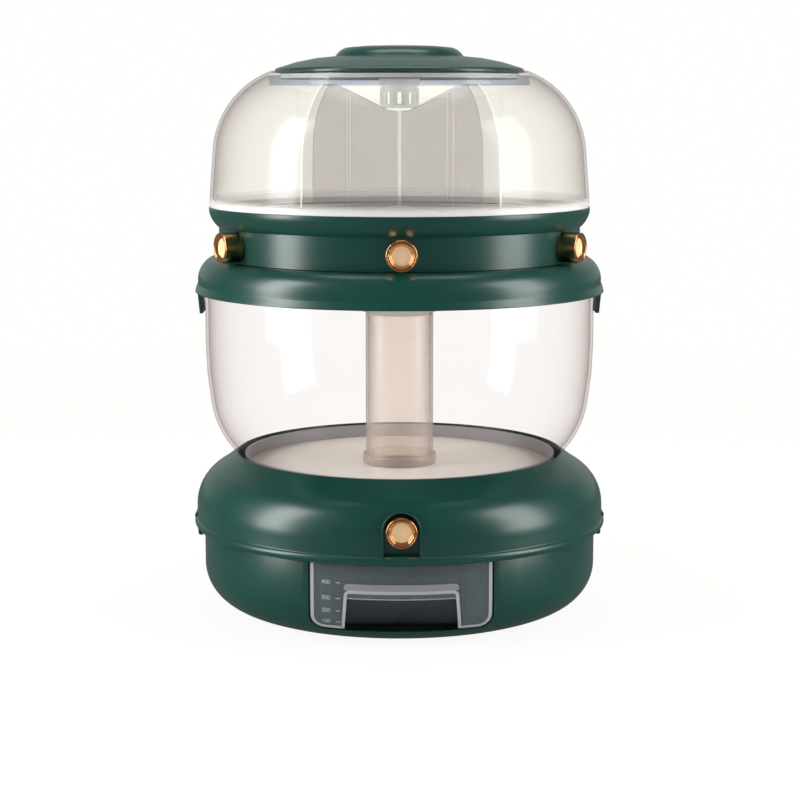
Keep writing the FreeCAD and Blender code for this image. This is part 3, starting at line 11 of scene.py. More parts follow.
import bmesh
import bpy
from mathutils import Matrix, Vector


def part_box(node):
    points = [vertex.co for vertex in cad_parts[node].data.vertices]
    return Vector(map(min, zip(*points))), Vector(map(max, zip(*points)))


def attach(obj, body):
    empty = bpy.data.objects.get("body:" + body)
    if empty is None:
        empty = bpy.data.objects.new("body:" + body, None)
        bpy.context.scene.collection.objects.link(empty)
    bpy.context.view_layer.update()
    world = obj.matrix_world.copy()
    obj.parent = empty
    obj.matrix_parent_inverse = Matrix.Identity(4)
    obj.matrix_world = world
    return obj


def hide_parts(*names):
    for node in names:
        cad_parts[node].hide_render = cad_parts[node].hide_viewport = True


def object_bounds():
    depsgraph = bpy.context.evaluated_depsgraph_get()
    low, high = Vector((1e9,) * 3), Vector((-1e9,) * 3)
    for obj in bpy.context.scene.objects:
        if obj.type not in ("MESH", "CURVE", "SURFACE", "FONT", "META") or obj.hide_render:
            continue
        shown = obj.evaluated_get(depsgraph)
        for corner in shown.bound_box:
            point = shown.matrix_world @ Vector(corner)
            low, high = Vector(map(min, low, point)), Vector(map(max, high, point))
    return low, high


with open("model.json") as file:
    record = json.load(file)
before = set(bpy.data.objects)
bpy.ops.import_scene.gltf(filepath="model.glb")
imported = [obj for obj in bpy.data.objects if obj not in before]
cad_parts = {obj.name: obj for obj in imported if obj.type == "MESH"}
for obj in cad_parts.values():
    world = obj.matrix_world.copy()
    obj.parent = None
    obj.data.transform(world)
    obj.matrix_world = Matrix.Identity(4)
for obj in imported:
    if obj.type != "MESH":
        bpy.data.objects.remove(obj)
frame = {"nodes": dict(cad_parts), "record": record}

MM = 0.001
NODES = frame["nodes"]
cad_low, cad_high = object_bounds()
print("CAD box:", list(cad_low), list(cad_high))


def size_of(node):
    """A round node's radius, underside and top, in millimetres."""
    low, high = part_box(node)
    return high.x / MM, low.z / MM, high.z / MM


# %% [markdown]
# The camera stands where the photographer stood. The rims of the object are circles, and how flat
# their ellipses look at each height gives the tilt, the distance and the focal length together.
# It stands a hair to the left, because the front button sits a little right of the middle.

# %% Camera
PHOTO_SIDE = 800
FOCAL_PIXELS = 1966
CAMERA_DISTANCE = 1445.7 * MM
CAMERA_HEIGHT = 376.5 * MM
CAMERA_TILT = math.radians(8.858)
CAMERA_TURN = math.radians(-0.57)
CAMERA_ASIDE = 0.4 * MM
SENSOR = 36

camera_data = bpy.data.cameras.new("camera")
camera_data.sensor_width = SENSOR
camera_data.lens = FOCAL_PIXELS * SENSOR / PHOTO_SIDE
camera = bpy.data.objects.new("camera", camera_data)
camera.location = (
    math.sin(CAMERA_TURN) * CAMERA_DISTANCE + CAMERA_ASIDE,
    -math.cos(CAMERA_TURN) * CAMERA_DISTANCE,
    CAMERA_HEIGHT,
)
camera.rotation_euler = (math.radians(90) - CAMERA_TILT, 0, CAMERA_TURN)
scene = bpy.context.scene
scene.collection.objects.link(camera)
scene.camera = camera
scene.view_settings.view_transform = "Standard"
print("lens:", round(camera_data.lens, 1), "mm")

# %% [markdown]
# Colours are written the way a colour picker shows them, as sRGB hex. The renderer counts in
# linear light, so one function converts them. Another adds a node with its settings and links, so
# that each material below reads as a short list of what feeds what. The white room and the white
# table both ask whether a ray comes straight from the eye, so that question is a function too.

# %% Colours and nodes


def linear(colour):
    """The linear RGBA value of an sRGB hex colour."""
    parts = [int(colour[i:i + 2], 16) / 255 for i in (1, 3, 5)]
    return [c / 12.92 if c <= 0.04045 else ((c + 0.055) / 1.055) ** 2.4 for c in parts] + [1]


def add(tree, kind, inputs=None, **settings):
    """A node of a kind, with its settings; each input is a value or another node's output."""
    made = tree.nodes.new("ShaderNode" + kind)
    for name, value in settings.items():
        setattr(made, name, value)
    for name, value in (inputs or {}).items():
        socket = made.inputs[name]
        if isinstance(value, bpy.types.NodeSocket):
            tree.links.new(value, socket)
        else:
            socket.default_value = value
    return made


def new_material(name):
    """An empty node material, ready for its shaders."""
    material = bpy.data.materials.new(name)
    material.use_nodes = True
    material.node_tree.nodes.clear()
    return material, material.node_tree


def straight_rays(tree):
    """The light path, and whether a ray comes from the camera, straight or through a clear wall."""
    path = add(tree, "LightPath")
    return path, add(tree, "Math", {
        0: path.outputs["Is Camera Ray"], 1: path.outputs["Is Transmission Ray"],
    }, operation="MAXIMUM")


# %% [markdown]
# The studio is a white table before a white backdrop. A backdrop in a catalogue photograph is blown
# out to white, so a ray that goes straight from the camera, or through a clear wall, sees plain
# white. The light that falls on the object is weaker, at a level where its colours come out as
# written. It is stronger from behind, where the backdrop is, than from the side where the camera
# stands, and a shiny surface mirrors the same room: white behind the object, dim in front of it. A
# ray here crosses up to sixteen clear faces, so the limit on them is raised.

# %% Studio
SEEN_WHITE = "#fffffd"
FRONT_LIGHT, BACK_LIGHT = 0.22, 1.0
LIGHT_START, LIGHT_END = -0.3, 0.7
FRONT_IN_MIRRORS, BACK_IN_MIRRORS = 0.14, 0.5
MIRROR_START, MIRROR_END = 0.45, 0.9
CLEAR_FACES = 32
scene.cycles.transparent_max_bounces = CLEAR_FACES
world = bpy.data.worlds.new("white_room")
scene.world = world
world.cycles.sampling_method = "NONE"
world.use_nodes = True
room = world.node_tree
room.nodes.clear()
path, straight = straight_rays(room)
toward = add(room, "TexCoord")
axes = add(room, "SeparateXYZ", {"Vector": toward.outputs["Generated"]})
lit = add(room, "MapRange", {
    "Value": axes.outputs["Y"], "From Min": LIGHT_START, "From Max": LIGHT_END,
    "To Min": FRONT_LIGHT, "To Max": BACK_LIGHT,
}, interpolation_type="SMOOTHSTEP")
mirrored = add(room, "MapRange", {
    "Value": axes.outputs["Y"], "From Min": MIRROR_START, "From Max": MIRROR_END,
    "To Min": FRONT_IN_MIRRORS, "To Max": BACK_IN_MIRRORS,
}, interpolation_type="SMOOTHSTEP")
level = add(room, "Mix", {
    0: path.outputs["Is Glossy Ray"], 2: lit.outputs[0], 3: mirrored.outputs[0],
})
lamp_room = add(room, "Background", {"Color": linear(SEEN_WHITE), "Strength": level.outputs[0]})
white_room = add(room, "Background", {"Color": linear(SEEN_WHITE), "Strength": 1.0})
choice = add(room, "MixShader", {
    0: straight.outputs[0], 1: lamp_room.outputs[0], 2: white_room.outputs[0],
})
add(room, "OutputWorld", {"Surface": choice.outputs[0]})
print("light from the front and back:", FRONT_LIGHT, BACK_LIGHT)

# %% [markdown]
# Two tall softboxes stand left and right of the object, nearly level with it, so that its round
# green walls carry one broad upright glint on each side and stay deep green in the middle. A large
# one overhead gives the soft light on every upward curve.

# %% Softboxes
LAMP_AIM = 0.22


def softbox(name, azimuth, height, distance, width, tall, power):
    """A rectangular lamp at an azimuth from the front, in degrees, aimed at the object."""
    lamp = bpy.data.lights.new(name, "AREA")
    lamp.shape = "RECTANGLE"
    lamp.size, lamp.size_y = width, tall
    lamp.energy = power
    box = bpy.data.objects.new(name, lamp)
    turn = math.radians(azimuth)
    box.location = (math.sin(turn) * distance, -math.cos(turn) * distance, height)
    sight = Vector((0, 0, LAMP_AIM)) - box.location
    box.rotation_euler = sight.to_track_quat("-Z", "Y").to_euler()
    scene.collection.objects.link(box)
    print(name, "at", [round(part, 2) for part in box.location], "with", power, "W")


softbox("softbox_left", azimuth=-72, height=0.7, distance=1.5, width=0.52, tall=1.45, power=27)
softbox("softbox_right", azimuth=71, height=0.7, distance=1.5, width=0.7, tall=1.45, power=23)
softbox("softbox_top", azimuth=0, height=1.7, distance=-0.1, width=1.2, tall=0.6, power=9)

# %% [markdown]
# The table is a plain pale sheet. Seen straight it is nearly all white, with a share of real matt
# paint left in so that the object's shadow still falls on it. Away from the object the share of
# white rises to all of it, so the table runs into the room without a horizon.

# %% Table
FLOOR_HALF = 6.0
FLOOR_WHITE = 0.93
FADE_START = 0.35
FADE_END = 1.6
bpy.ops.object.select_all(action="DESELECT")
bpy.ops.mesh.primitive_plane_add(size=FLOOR_HALF * 2, location=(0, 0, cad_low.z))
floor = bpy.context.object
floor.name = "floor"
paper, tree = new_material("pale_table")
matte = add(tree, "BsdfDiffuse", {"Color": linear("#f4f3f1")})
path, straight = straight_rays(tree)
dimmed = add(tree, "Mix", {0: path.outputs["Is Glossy Ray"], 2: 1.0, 3: FRONT_IN_MIRRORS})
glow = add(tree, "Emission", {"Color": linear(SEEN_WHITE), "Strength": dimmed.outputs[0]})
seen = add(tree, "Math", {
    0: straight.outputs[0], 1: path.outputs["Is Glossy Ray"],
}, operation="MAXIMUM")
ground = add(tree, "TexCoord")
away = add(tree, "VectorMath", {0: ground.outputs["Object"]}, operation="LENGTH")
fade = add(tree, "MapRange", {
    "Value": away.outputs["Value"], "From Min": FADE_START, "From Max": FADE_END,
    "To Min": FLOOR_WHITE, "To Max": 1.0,
}, interpolation_type="SMOOTHSTEP")
share = add(tree, "Math", {0: seen.outputs[0], 1: fade.outputs[0]}, operation="MULTIPLY")
mixed = add(tree, "MixShader", {0: share.outputs[0], 1: matte.outputs[0], 2: glow.outputs[0]})
add(tree, "OutputMaterial", {"Surface": mixed.outputs[0]})
floor.data.materials.append(paper)
print("table at height", floor.location.z)

# %% [markdown]
# Green ABS, injection moulded. The mould is spark-eroded to a fine satin, about 0.25 mm across, so
# lamps show as wide soft glints, and the pigment varies very slightly where the melt flowed. The
# noise for the satin starts at four grains, and its finer octaves reach down to the grain itself.
# The same recipe, with other colours and roughness, makes the other opaque plastics and rubbers.

# %% Satin moulded plastic
FLOW_LENGTH = 60
GRAIN = 0.25
GRAIN_DEPTH = 0.05
SATIN_SPREAD = 0.03


def satin_plastic(name, colour, deep, roughness):
    """A moulded plastic or rubber: a colour and its deeper flow marks, over a fine grain."""
    material, tree = new_material(name)
    place = add(tree, "TexCoord")
    flow = add(tree, "TexNoise", {
        "Vector": place.outputs["Object"], "Scale": 1 / (FLOW_LENGTH * MM), "Detail": 2.0,
    })
    tone = add(tree, "ValToRGB", {"Fac": flow.outputs["Fac"]})
    tone.color_ramp.elements[0].position = 0.3
    tone.color_ramp.elements[0].color = linear(deep)
    tone.color_ramp.elements[1].position = 0.7
    tone.color_ramp.elements[1].color = linear(colour)
    sheen = add(tree, "MapRange", {
        "Value": flow.outputs["Fac"],
        "To Min": roughness - SATIN_SPREAD, "To Max": roughness + SATIN_SPREAD,
    })
    erosion = add(tree, "TexNoise", {
        "Vector": place.outputs["Object"], "Scale": 1 / (4 * GRAIN * MM), "Detail": 3.0,
    })
    bump = add(tree, "Bump", {
        "Height": erosion.outputs["Fac"], "Strength": 0.06, "Distance": GRAIN_DEPTH * MM,
    })
    shader = add(tree, "BsdfPrincipled", {
        "Base Color": tone.outputs["Color"], "Roughness": sheen.outputs[0], "IOR": 1.53,
        "Normal": bump.outputs["Normal"],
    })
    add(tree, "OutputMaterial", {"Surface": shader.outputs[0]})
    return material


green = satin_plastic("dark_green_abs", "#0a4038", "#093b33", 0.29)
latch_green = satin_plastic("dark_green_latch_abs", "#0d3d35", "#0c3830", 0.34)
black = satin_plastic("black_polypropylene", "#0a0b0c", "#070808", 0.45)
white = satin_plastic("white_polypropylene", "#efeae4", "#e9e4de", 0.4)
floor_plastic = satin_plastic("ivory_floor_polypropylene", "#faf2e8", "#f5ece1", 0.26)
grey_rubber = satin_plastic("grey_silicone", "#9c9b9d", "#969597", 0.55)
foot_rubber = satin_plastic("black_rubber", "#1a1a1a", "#151515", 0.7)
white_silicone = satin_plastic("white_silicone", "#eeeef2", "#e8e8ec", 0.5)
acetal = satin_plastic("white_acetal", "#e8e8e4", "#e2e2de", 0.35)

# %% [markdown]
# Clear polystyrene walls. A thin clear wall lets nearly all light straight through, mirrors a
# little of the room, and looks greyer towards its outline, where the eye looks along the wall. A
# Transparent shader does this without bending the ray, which suits a thin wall, and the tint is
# set per face, so that a view through several walls darkens step by step.
# Some of the clear pieces are a little milky, as polypropylene is, and the milk gathers where the
# plastic is seen edge on. Plastic mirrors 4 percent face on and all of it edge on, and the rise is
# worked out from Facing, which is the same on both faces: a Fresnel node would take a wall's far
# face for the inside of solid glass and mirror far too much. A quarter of the result is kept,
# because the photograph's walls mirror this plain room only faintly.

# %% Clear polystyrene
MIRRORED = 0.04
SHINE = 0.25
FOOT_MILK = 0.45


def clear_plastic(name, face, rim, gloss=0.06, milk=0.0, edge_milk=0.0,
                  milk_colour="#ffffff", power=3.0, foot=None):
    """A see-through wall: its tint face on and at its outline, and how milky it is there.

    A foot is the two heights between which a thick moulded foot loses its haze.
    """
    material, tree = new_material(name)
    weight = add(tree, "LayerWeight", {"Blend": 0.5})
    edge = add(tree, "Math", {0: weight.outputs["Facing"], 1: power}, operation="POWER")
    tint = add(tree, "Mix", {
        0: edge.outputs[0], 6: linear(face), 7: linear(rim),
    }, data_type="RGBA")
    through = add(tree, "BsdfTransparent", {"Color": tint.outputs[2]})
    cloud = add(tree, "BsdfPrincipled", {
        "Base Color": linear(milk_colour), "Roughness": 0.5, "IOR": 1.5,
    })
    haze = add(tree, "MapRange", {"Value": edge.outputs[0], "To Min": milk, "To Max": edge_milk})
    if foot:
        place = add(tree, "TexCoord")
        axes = add(tree, "SeparateXYZ", {"Vector": place.outputs["Object"]})
        thick = add(tree, "MapRange", {
            "Value": axes.outputs["Z"], "From Min": foot[0], "From Max": foot[1],
            "To Min": FOOT_MILK, "To Max": 0.0,
        }, interpolation_type="SMOOTHSTEP")
        haze = add(tree, "Math", {0: haze.outputs[0], 1: thick.outputs[0]}, operation="MAXIMUM")
    body = add(tree, "MixShader", {
        0: haze.outputs[0], 1: through.outputs[0], 2: cloud.outputs[0],
    })
    mirror = add(tree, "BsdfGlossy", {"Color": linear("#ffffff"), "Roughness": gloss})
    rise = add(tree, "Math", {0: weight.outputs["Facing"], 1: 5.0}, operation="POWER")
    sheen = add(tree, "Math", {
        0: rise.outputs[0], 1: (1 - MIRRORED) * SHINE, 2: MIRRORED * SHINE,
    }, operation="MULTIPLY_ADD")
    shader = add(tree, "MixShader", {
        0: sheen.outputs[0], 1: body.outputs[0], 2: mirror.outputs[0],
    })
    add(tree, "OutputMaterial", {"Surface": shader.outputs[0]})
    return material


FOOT_OF_DOME = [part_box("grain_container")[0].z + rise * MM for rise in (6, 13)]
clear_bucket = clear_plastic("clear_bucket_styrene", "#fffefe", "#e9e2df", power=4)
clear_dome = clear_plastic("clear_container_styrene", "#fefefc", "#ded7d6", gloss=0.14, power=4,
                           foot=FOOT_OF_DOME)
clear_wall = clear_plastic("clear_divider_styrene", "#fefdfd", "#cecbcd", power=2)
# Painted light: a paler, milkier tint for the divider's edges, standing for light glowing out of
# them.
wall_edge_light_paint = clear_plastic("painted_glow_divider_edge", "#fdfdfc", "#e8e8e8", milk=0.55, edge_milk=0.7)
hoop_band = clear_plastic("pale_blue_hoop", "#eef0f6", "#c8ced8", milk=0.1, edge_milk=0.25,
                          milk_colour="#e6e8f0")
frosted = clear_plastic("frosted_polypropylene", "#e6e4e3", "#a09fa2", gloss=0.3, milk=0.4,
                        edge_milk=0.6, milk_colour="#dcdad9")
cream_tube = clear_plastic("frosted_tube_polypropylene", "#fefbf8", "#a9a8aa", gloss=0.2, milk=0.13,
                           edge_milk=0.25, milk_colour="#fbf3ec", power=2)
milky_white = clear_plastic("milky_white_polypropylene", "#fafafa", "#e4e2e0", gloss=0.3, milk=0.4,
                            edge_milk=0.5)
drawer_clear = clear_plastic("smoky_drawer_styrene", "#e4e8ea", "#a8acb0", gloss=0.08, milk=0.2,
                             edge_milk=0.5, milk_colour="#8f9ba0", power=2)
# Painted light: a pale, milky tint for the drawer's rim and edges, standing for light gathered in
# the thick plastic.
drawer_edge_light_paint = clear_plastic("lit_drawer_edge", "#e4e8ea", "#c8ccd0", gloss=0.1, milk=0.5,
                            edge_milk=0.6, milk_colour="#d0d2d8")
# Painted light: a pale, milky tint for the ledge over the recess, a painted highlight where the step
# catches light.
drawer_ledge_highlight_paint = clear_plastic("pale_drawer_ledge", "#e4e8ea", "#c8ccd0", gloss=0.1, milk=0.3,
                             edge_milk=0.4, milk_colour="#d0cdd0")
scale_print = satin_plastic("pale_scale_print", "#a4aeb2", "#9ca6aa", 0.5)

# %% [markdown]
# Rose gold. The buttons are plated plastic: bright metal whose thin plating is a little duller in
# patches about 3 mm across, which spreads the glints. Their faces are brushed, so they mirror far
# less of the dim room in front and show more of their own colour.

# %% Rose gold plate and steel
PATCH = 3
PLATE_SPREAD = 0.04


def plated(name, colour, roughness, metal=1.0):
    """A metal plate with patches that vary its roughness; a metal keeps the default IOR."""
    material, tree = new_material(name)
    place = add(tree, "TexCoord")
    patch = add(tree, "TexNoise", {
        "Vector": place.outputs["Object"], "Scale": 1 / (PATCH * MM), "Detail": 3.0,
    })
    dull = add(tree, "MapRange", {
        "Value": patch.outputs["Fac"],
        "To Min": roughness - PLATE_SPREAD, "To Max": roughness + PLATE_SPREAD,
    })
    shader = add(tree, "BsdfPrincipled", {
        "Base Color": linear(colour), "Metallic": metal, "Roughness": dull.outputs[0],
    })
    add(tree, "OutputMaterial", {"Surface": shader.outputs[0]})
    return material


rose_gold = plated("rose_gold_plate", "#e7ab78", 0.2)
gold_face = plated("brushed_rose_gold_face", "#ffd8a8", 0.45, metal=0.3)
steel = plated("plain_steel", "#b8b8b8", 0.3)

# %% [markdown]
# Every CAD node first gets the finish of its slot in the record. The pieces that are modelled
# below take over from their nodes afterwards.

# %% Finishes of the CAD nodes
FINISH = {
    "dark_green": green, "clear_bucket": clear_bucket, "clear_container": clear_dome,
    "frosted": frosted, "smoke_drawer": drawer_clear, "black_plastic": black,
    "white_plastic": white, "rose_gold": rose_gold, "grey_rubber": grey_rubber,
    "foot_rubber": foot_rubber, "steel": steel, "acetal": acetal,
}
for part in frame["record"]["subparts"]:
    slots = NODES[part["node"]].data.materials
    slots.clear()
    slots.append(FINISH[part["material_slot"]])
NODES["bucket_floor"].data.materials[0] = floor_plastic
NODES["lid_gasket"].data.materials[0] = white_silicone
for node in ("dryer_holder", "dryer_box"):
    NODES[node].data.materials[0] = milky_white
print(len(NODES), "nodes finished")

# %% [markdown]
# Most of this product is turned: a bowl, rings, walls and a lid that are all round. Each can be
# drawn as half a cross-section and spun about the upright axis. An outline is a list of corners,
# and a corner with a third number is reached by an arc of that radius, bending left when positive.

# %% Outlines
ARC_STEP = math.radians(6)
NEAR = 1e-6


def arc_points(start, end, radius):
    """Points along the arc from one corner to the next, without its start."""
    run = Vector(end) - Vector(start)
    rise = math.sqrt(max(radius * radius - run.length_squared / 4, 0))
    side = math.copysign(1, radius)
    left = Vector((-run.y, run.x)).normalized()
    centre = (Vector(start) + Vector(end)) / 2 + left * rise * side
    spoke = Vector(start) - centre
    angle = side * 2 * math.asin(min(run.length / 2 / abs(radius), 1))
    count = max(2, math.ceil(abs(angle) / ARC_STEP))
    made = []
    for number in range(1, count + 1):
        turn = angle * number / count
        made.append(Vector((
            centre.x + spoke.x * math.cos(turn) - spoke.y * math.sin(turn),
            centre.y + spoke.x * math.sin(turn) + spoke.y * math.cos(turn),
        )))
    return made


def outline(corners):
    """The corners as points, with every arc divided."""
    points = [Vector(corners[0][:2])]
    for corner in corners[1:]:
        if len(corner) == 3:
            points += arc_points(points[-1], corner[:2], corner[2])
        else:
            points.append(Vector(corner))
    if (points[-1] - points[0]).length < NEAR:
        points.pop()
    return points


# %% [markdown]
# No moulded edge is knife sharp. Before an outline is spun, each of its sharp corners is cut back a
# little along both sides and joined by a small curve, so that the edge catches a thin line of
# light. Where two corners lie close together the curve shrinks to fit between them.

# %% Eased corners
SHARP = math.radians(20)
CURVE_STEPS = 4
SIDE_SHARE = 0.45


def eased(points, ease, closed):
    """The outline with its sharp corners rounded by up to ease, in millimetres."""
    count = len(points)
    sides = [(points[(i + 1) % count] - points[i]) for i in range(count if closed else count - 1)]
    places = [0.0]
    for side in sides:
        places.append(places[-1] + side.length)
    total = places[-1]
    sharp = [
        i for i in range(0 if closed else 1, count if closed else count - 1)
        if sides[i - 1].angle(sides[i % len(sides)], 0) > SHARP
    ]
    if not sharp or ease <= 0:
        return points

    def point_at(place):
        """The point at a length along the outline."""
        place = place % total if closed else min(max(place, 0), total)
        number = max(i for i in range(len(sides)) if places[i] <= place + 1e-9)
        return points[number] + sides[number].normalized() * (place - places[number])

    ends = [places[i] for i in sharp]
    before = [ends[-1] - total if closed else 0.0] + ends[:-1]
    after = ends[1:] + [ends[0] + total if closed else total]
    cuts = [
        min(ease, SIDE_SHARE * (e - b), SIDE_SHARE * (a - e)) for e, b, a in zip(ends, before, after)
    ]
    made = [] if closed else [p for p, place in zip(points, places) if place < ends[0] - cuts[0]]
    for number, (corner, end, cut) in enumerate(zip(sharp, ends, cuts)):
        first, last = point_at(end - cut), point_at(end + cut)
        for step in range(CURVE_STEPS + 1):
            t = step / CURVE_STEPS
            made.append(first * (1 - t) ** 2 + points[corner] * 2 * t * (1 - t) + last * t * t)
        if closed or number + 1 < len(cuts):
            limit = after[number] - cuts[(number + 1) % len(cuts)]
        else:
            limit = total + 1
        for turn in range(2 if closed else 1):
            for i in range(count):
                place = places[i] + total * turn
                if end + cut + NEAR < place < limit - NEAR:
                    made.append(points[i])
    return made


# %% [markdown]
# Drawing follows the hand: one corner is set down, and each next one is extruded from it. A closed
# section gets its last edge, and Spin carries it round the axis. A section that starts and ends on
# the axis stays open, because the spin closes it there. Afterwards the seam is merged and the
# faces are turned outwards.

# %% Turned pieces
ROUND_STEPS = 160
EASE = 0.5
SMOOTH = math.radians(35)
MERGE = 0.002


def draw(name, points, closed):
    """A new piece that is only a chain of edges in the XZ plane."""
    bpy.ops.object.select_all(action="DESELECT")
    bpy.ops.mesh.primitive_plane_add(size=MM, location=(0, 0, 0))
    piece = bpy.context.object
    piece.name = piece.data.name = name
    bpy.ops.object.mode_set(mode="EDIT")
    bpy.ops.mesh.select_all(action="SELECT")
    bpy.ops.mesh.merge(type="CENTER")
    bpy.ops.transform.translate(value=(points[0].x * MM, 0, points[0].y * MM))
    for here, there in zip(points, points[1:]):
        step = ((there.x - here.x) * MM, 0, (there.y - here.y) * MM)
        bpy.ops.mesh.extrude_vertices_move(TRANSFORM_OT_translate={"value": step})
    if closed:
        mesh = bmesh.from_edit_mesh(piece.data)
        mesh.verts.ensure_lookup_table()
        mesh.verts[0].select_set(True)
        bpy.ops.mesh.edge_face_add()
    bpy.ops.mesh.select_all(action="SELECT")
    return piece


def close_up(piece):
    """Merges doubles, turns the faces outwards, leaves edit mode and smooths the shading."""
    bpy.ops.mesh.select_all(action="SELECT")
    bpy.ops.mesh.remove_doubles(threshold=MERGE * MM)
    bpy.ops.mesh.normals_make_consistent(inside=False)
    bpy.ops.object.mode_set(mode="OBJECT")
    bpy.ops.object.shade_smooth_by_angle(angle=SMOOTH)
    return piece


def turned(name, corners, ease=EASE, steps=ROUND_STEPS):
    """A round piece: its half section, spun about the upright axis."""
    closed = corners[0][0] > 0 or corners[-1][0] > 0
    piece = draw(name, eased(outline(corners), ease, closed), closed)
    bpy.ops.mesh.spin(steps=steps, angle=math.tau, center=(0, 0, 0), axis=(0, 0, 1))
    return close_up(piece)


def finish(piece, material, body, slot, *nodes):
    """The piece gets its material or materials, rides on its body, and stands for its CAD nodes."""
    slots = piece.data.materials
    for number, layer in enumerate(material if isinstance(material, tuple) else (material,)):
        if number < len(slots):
            slots[number] = layer
        else:
            slots.append(layer)
    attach(piece, body)
    if nodes:
        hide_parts(*nodes)
    print(piece.name, len(piece.data.polygons), "faces on", body)
    return piece


# %% [markdown]
# The lid is a shallow saucer with a raised grip in the middle that fingers lift it by. A soft step
# runs round the grip, and the lid's edge is rounded over, so both catch a line of light.

# %% Lid
reach, low, top = size_of("lid_cover")
lid_seat = top - 19.3
lid = turned("lid", (
    (reach, lid_seat),
    (reach, lid_seat + 1.4),
    (reach - 2.1, lid_seat + 3.3, 3),
    (reach - 44, top - 7.6, 146),
    (reach - 52.4, top - 1.4, 13),
    (14, top, 206.4),
    (0, top),
    (0, top - 2.2),
    (14, top - 2.2),
    (reach - 53.4, top - 3.6, -189.6),
    (reach - 46.8, top - 8.6, -11),
    (reach - 46.8, top - 9.8),
    (reach - 11.4, top - 15.2, -143),
    (reach - 6.4, top - 16.9),
    (reach - 6.4, low),
    (reach - 4.6, low),
    (reach - 4.6, lid_seat),
))
finish(lid, green, "lid", "dark_green", "lid_cover")

# %% [markdown]
# The clear container is one moulded dome, two millimetres thick. It stands in the carousel's tray
# and ends in a rim round the filling mouth.

# %% Container
reach, low, top = size_of("grain_container")
dome = turned("container_dome", (
    (reach - 3.73, low),
    (reach - 1.83, low),
    (reach - 1.83, low + 4.7),
    (reach, low + 4.7),
    (reach - 3.23, low + 45.82),
    (reach - 46.43, top, 65.2),
    (reach - 46.43, top - 1.6),
    (reach - 52.33, top - 1.6),
    (reach - 52.33, top - 3.62),
    (reach - 42.73, top - 3.62),
    (reach - 5.22, low + 45.66, -63.2),
    (reach - 2.53, low + 11.2),
    (reach - 3.73, low + 9.2),
), ease=0.7)
finish(dome, clear_dome, "carousel", "clear_container", "grain_container")

# %% [markdown]
# The bucket below it is the same kind of moulding: a straight foot, a belly, and a wall that is
# very slightly barrelled.

# %% Bucket
reach, low, top = size_of("rice_bucket")
bucket = turned("bucket_wall", (
    (reach - 26.2, low),
    (reach - 24, low),
    (reach - 24, low + 13.7),
    (reach - 22.7, low + 15.7),
    (reach - 3.4, low + 54.4, 64.7),
    (reach, low + 96.5, 261),
    (reach, top),
    (reach - 2.2, top),
    (reach - 2.2, low + 96.5),
    (reach - 5.6, low + 54.7, -258.8),
    (reach - 24.46, low + 17.02, -62.5),
    (reach - 26.2, low + 13.7),
), ease=0.7)
finish(bucket, clear_bucket, "base", "clear_bucket", "rice_bucket")

# %% [markdown]
# The drop tube carries grain from the upper compartments down through the bucket. It is drawn
# through a frosting die, so it is milkier than the moulded walls, and a small collar holds its foot.

# %% Drop tube
TUBE_STEPS = 96
reach, low, top = size_of("drop_tube")
tube = turned("frosted_drop_tube", (
    (reach - 1.6, low), (reach, low), (reach, top), (reach - 1.6, top),
), ease=0.4, steps=TUBE_STEPS)
finish(tube, cream_tube, "base", "clear_container", "drop_tube")
reach, low, top = size_of("tube_collar")
collar = turned("collar_ring", (
    (reach - 2, low), (reach, low), (reach, top - 0.8), (reach - 0.8, top, 0.8), (reach - 2, top),
), ease=0.4, steps=TUBE_STEPS)
finish(collar, cream_tube, "base", "white_plastic", "tube_collar")

# %% [markdown]
# The carousel's tray flares out under the container and ends in an upright band with a fine lip.

# %% Carousel tray
reach, low, top = size_of("carousel_tray")
tray = turned("tray_ring", (
    (reach - 9.6, low),
    (reach - 6, low),
    (reach, low + 10.7, 19.4),
    (reach, top),
    (reach - 1.6, top),
    (reach - 1.6, top - 7.4),
    (reach - 13, top - 7.4),
    (reach - 13, top - 9.6),
    (reach - 9.6, top - 9.6),
))
finish(tray, green, "carousel", "dark_green", "carousel_tray")

# %% [markdown]
# Flat pieces start the same way: the outline is filled and then extruded along Y. Holes and bosses
# are added with Boolean modifiers, and a Bevel modifier rounds the edges that the extrusion left.
# A piece that repeats is modelled once and copied, each copy with a mesh of its own.

# %% Flat pieces, cuts and copies
HARD = math.radians(40)


def slab(name, corners, front, back, ease=EASE):
    """A flat piece: an outline in the XZ plane, extruded along Y from front to back."""
    piece = draw(name, eased(outline(corners), ease, True), True)
    bpy.ops.mesh.edge_face_add()
    bpy.ops.transform.translate(value=(0, front * MM, 0))
    bpy.ops.mesh.extrude_region_move(
        TRANSFORM_OT_translate={"value": (0, (back - front) * MM, 0)}
    )
    return close_up(piece)


def select_only(piece):
    """Makes a piece the one selected and active object."""
    bpy.ops.object.select_all(action="DESELECT")
    piece.select_set(True)
    bpy.context.view_layer.objects.active = piece


def round_edges(piece, width, segments=3, layer=-1):
    """Rounds every hard edge of a piece; the new faces may take their own material layer."""
    select_only(piece)
    bevel = piece.modifiers.new("rounding", "BEVEL")
    bevel.width = width * MM
    bevel.segments = segments
    bevel.limit_method = "ANGLE"
    bevel.angle_limit = HARD
    bevel.miter_outer = "MITER_ARC"
    bevel.material = layer
    bpy.ops.object.modifier_apply(modifier=bevel.name)
    bpy.ops.object.shade_smooth_by_angle(angle=SMOOTH)
    return piece


def combine(piece, tool, operation):
    """Joins or cuts a piece with a tool piece, which is used up."""
    select_only(piece)
    change = piece.modifiers.new("change", "BOOLEAN")
    change.operation = operation
    change.solver = "EXACT"
    change.object = tool
    bpy.ops.object.modifier_apply(modifier=change.name)
    bpy.data.objects.remove(tool)
    bpy.ops.object.shade_smooth_by_angle(angle=SMOOTH)
    return piece


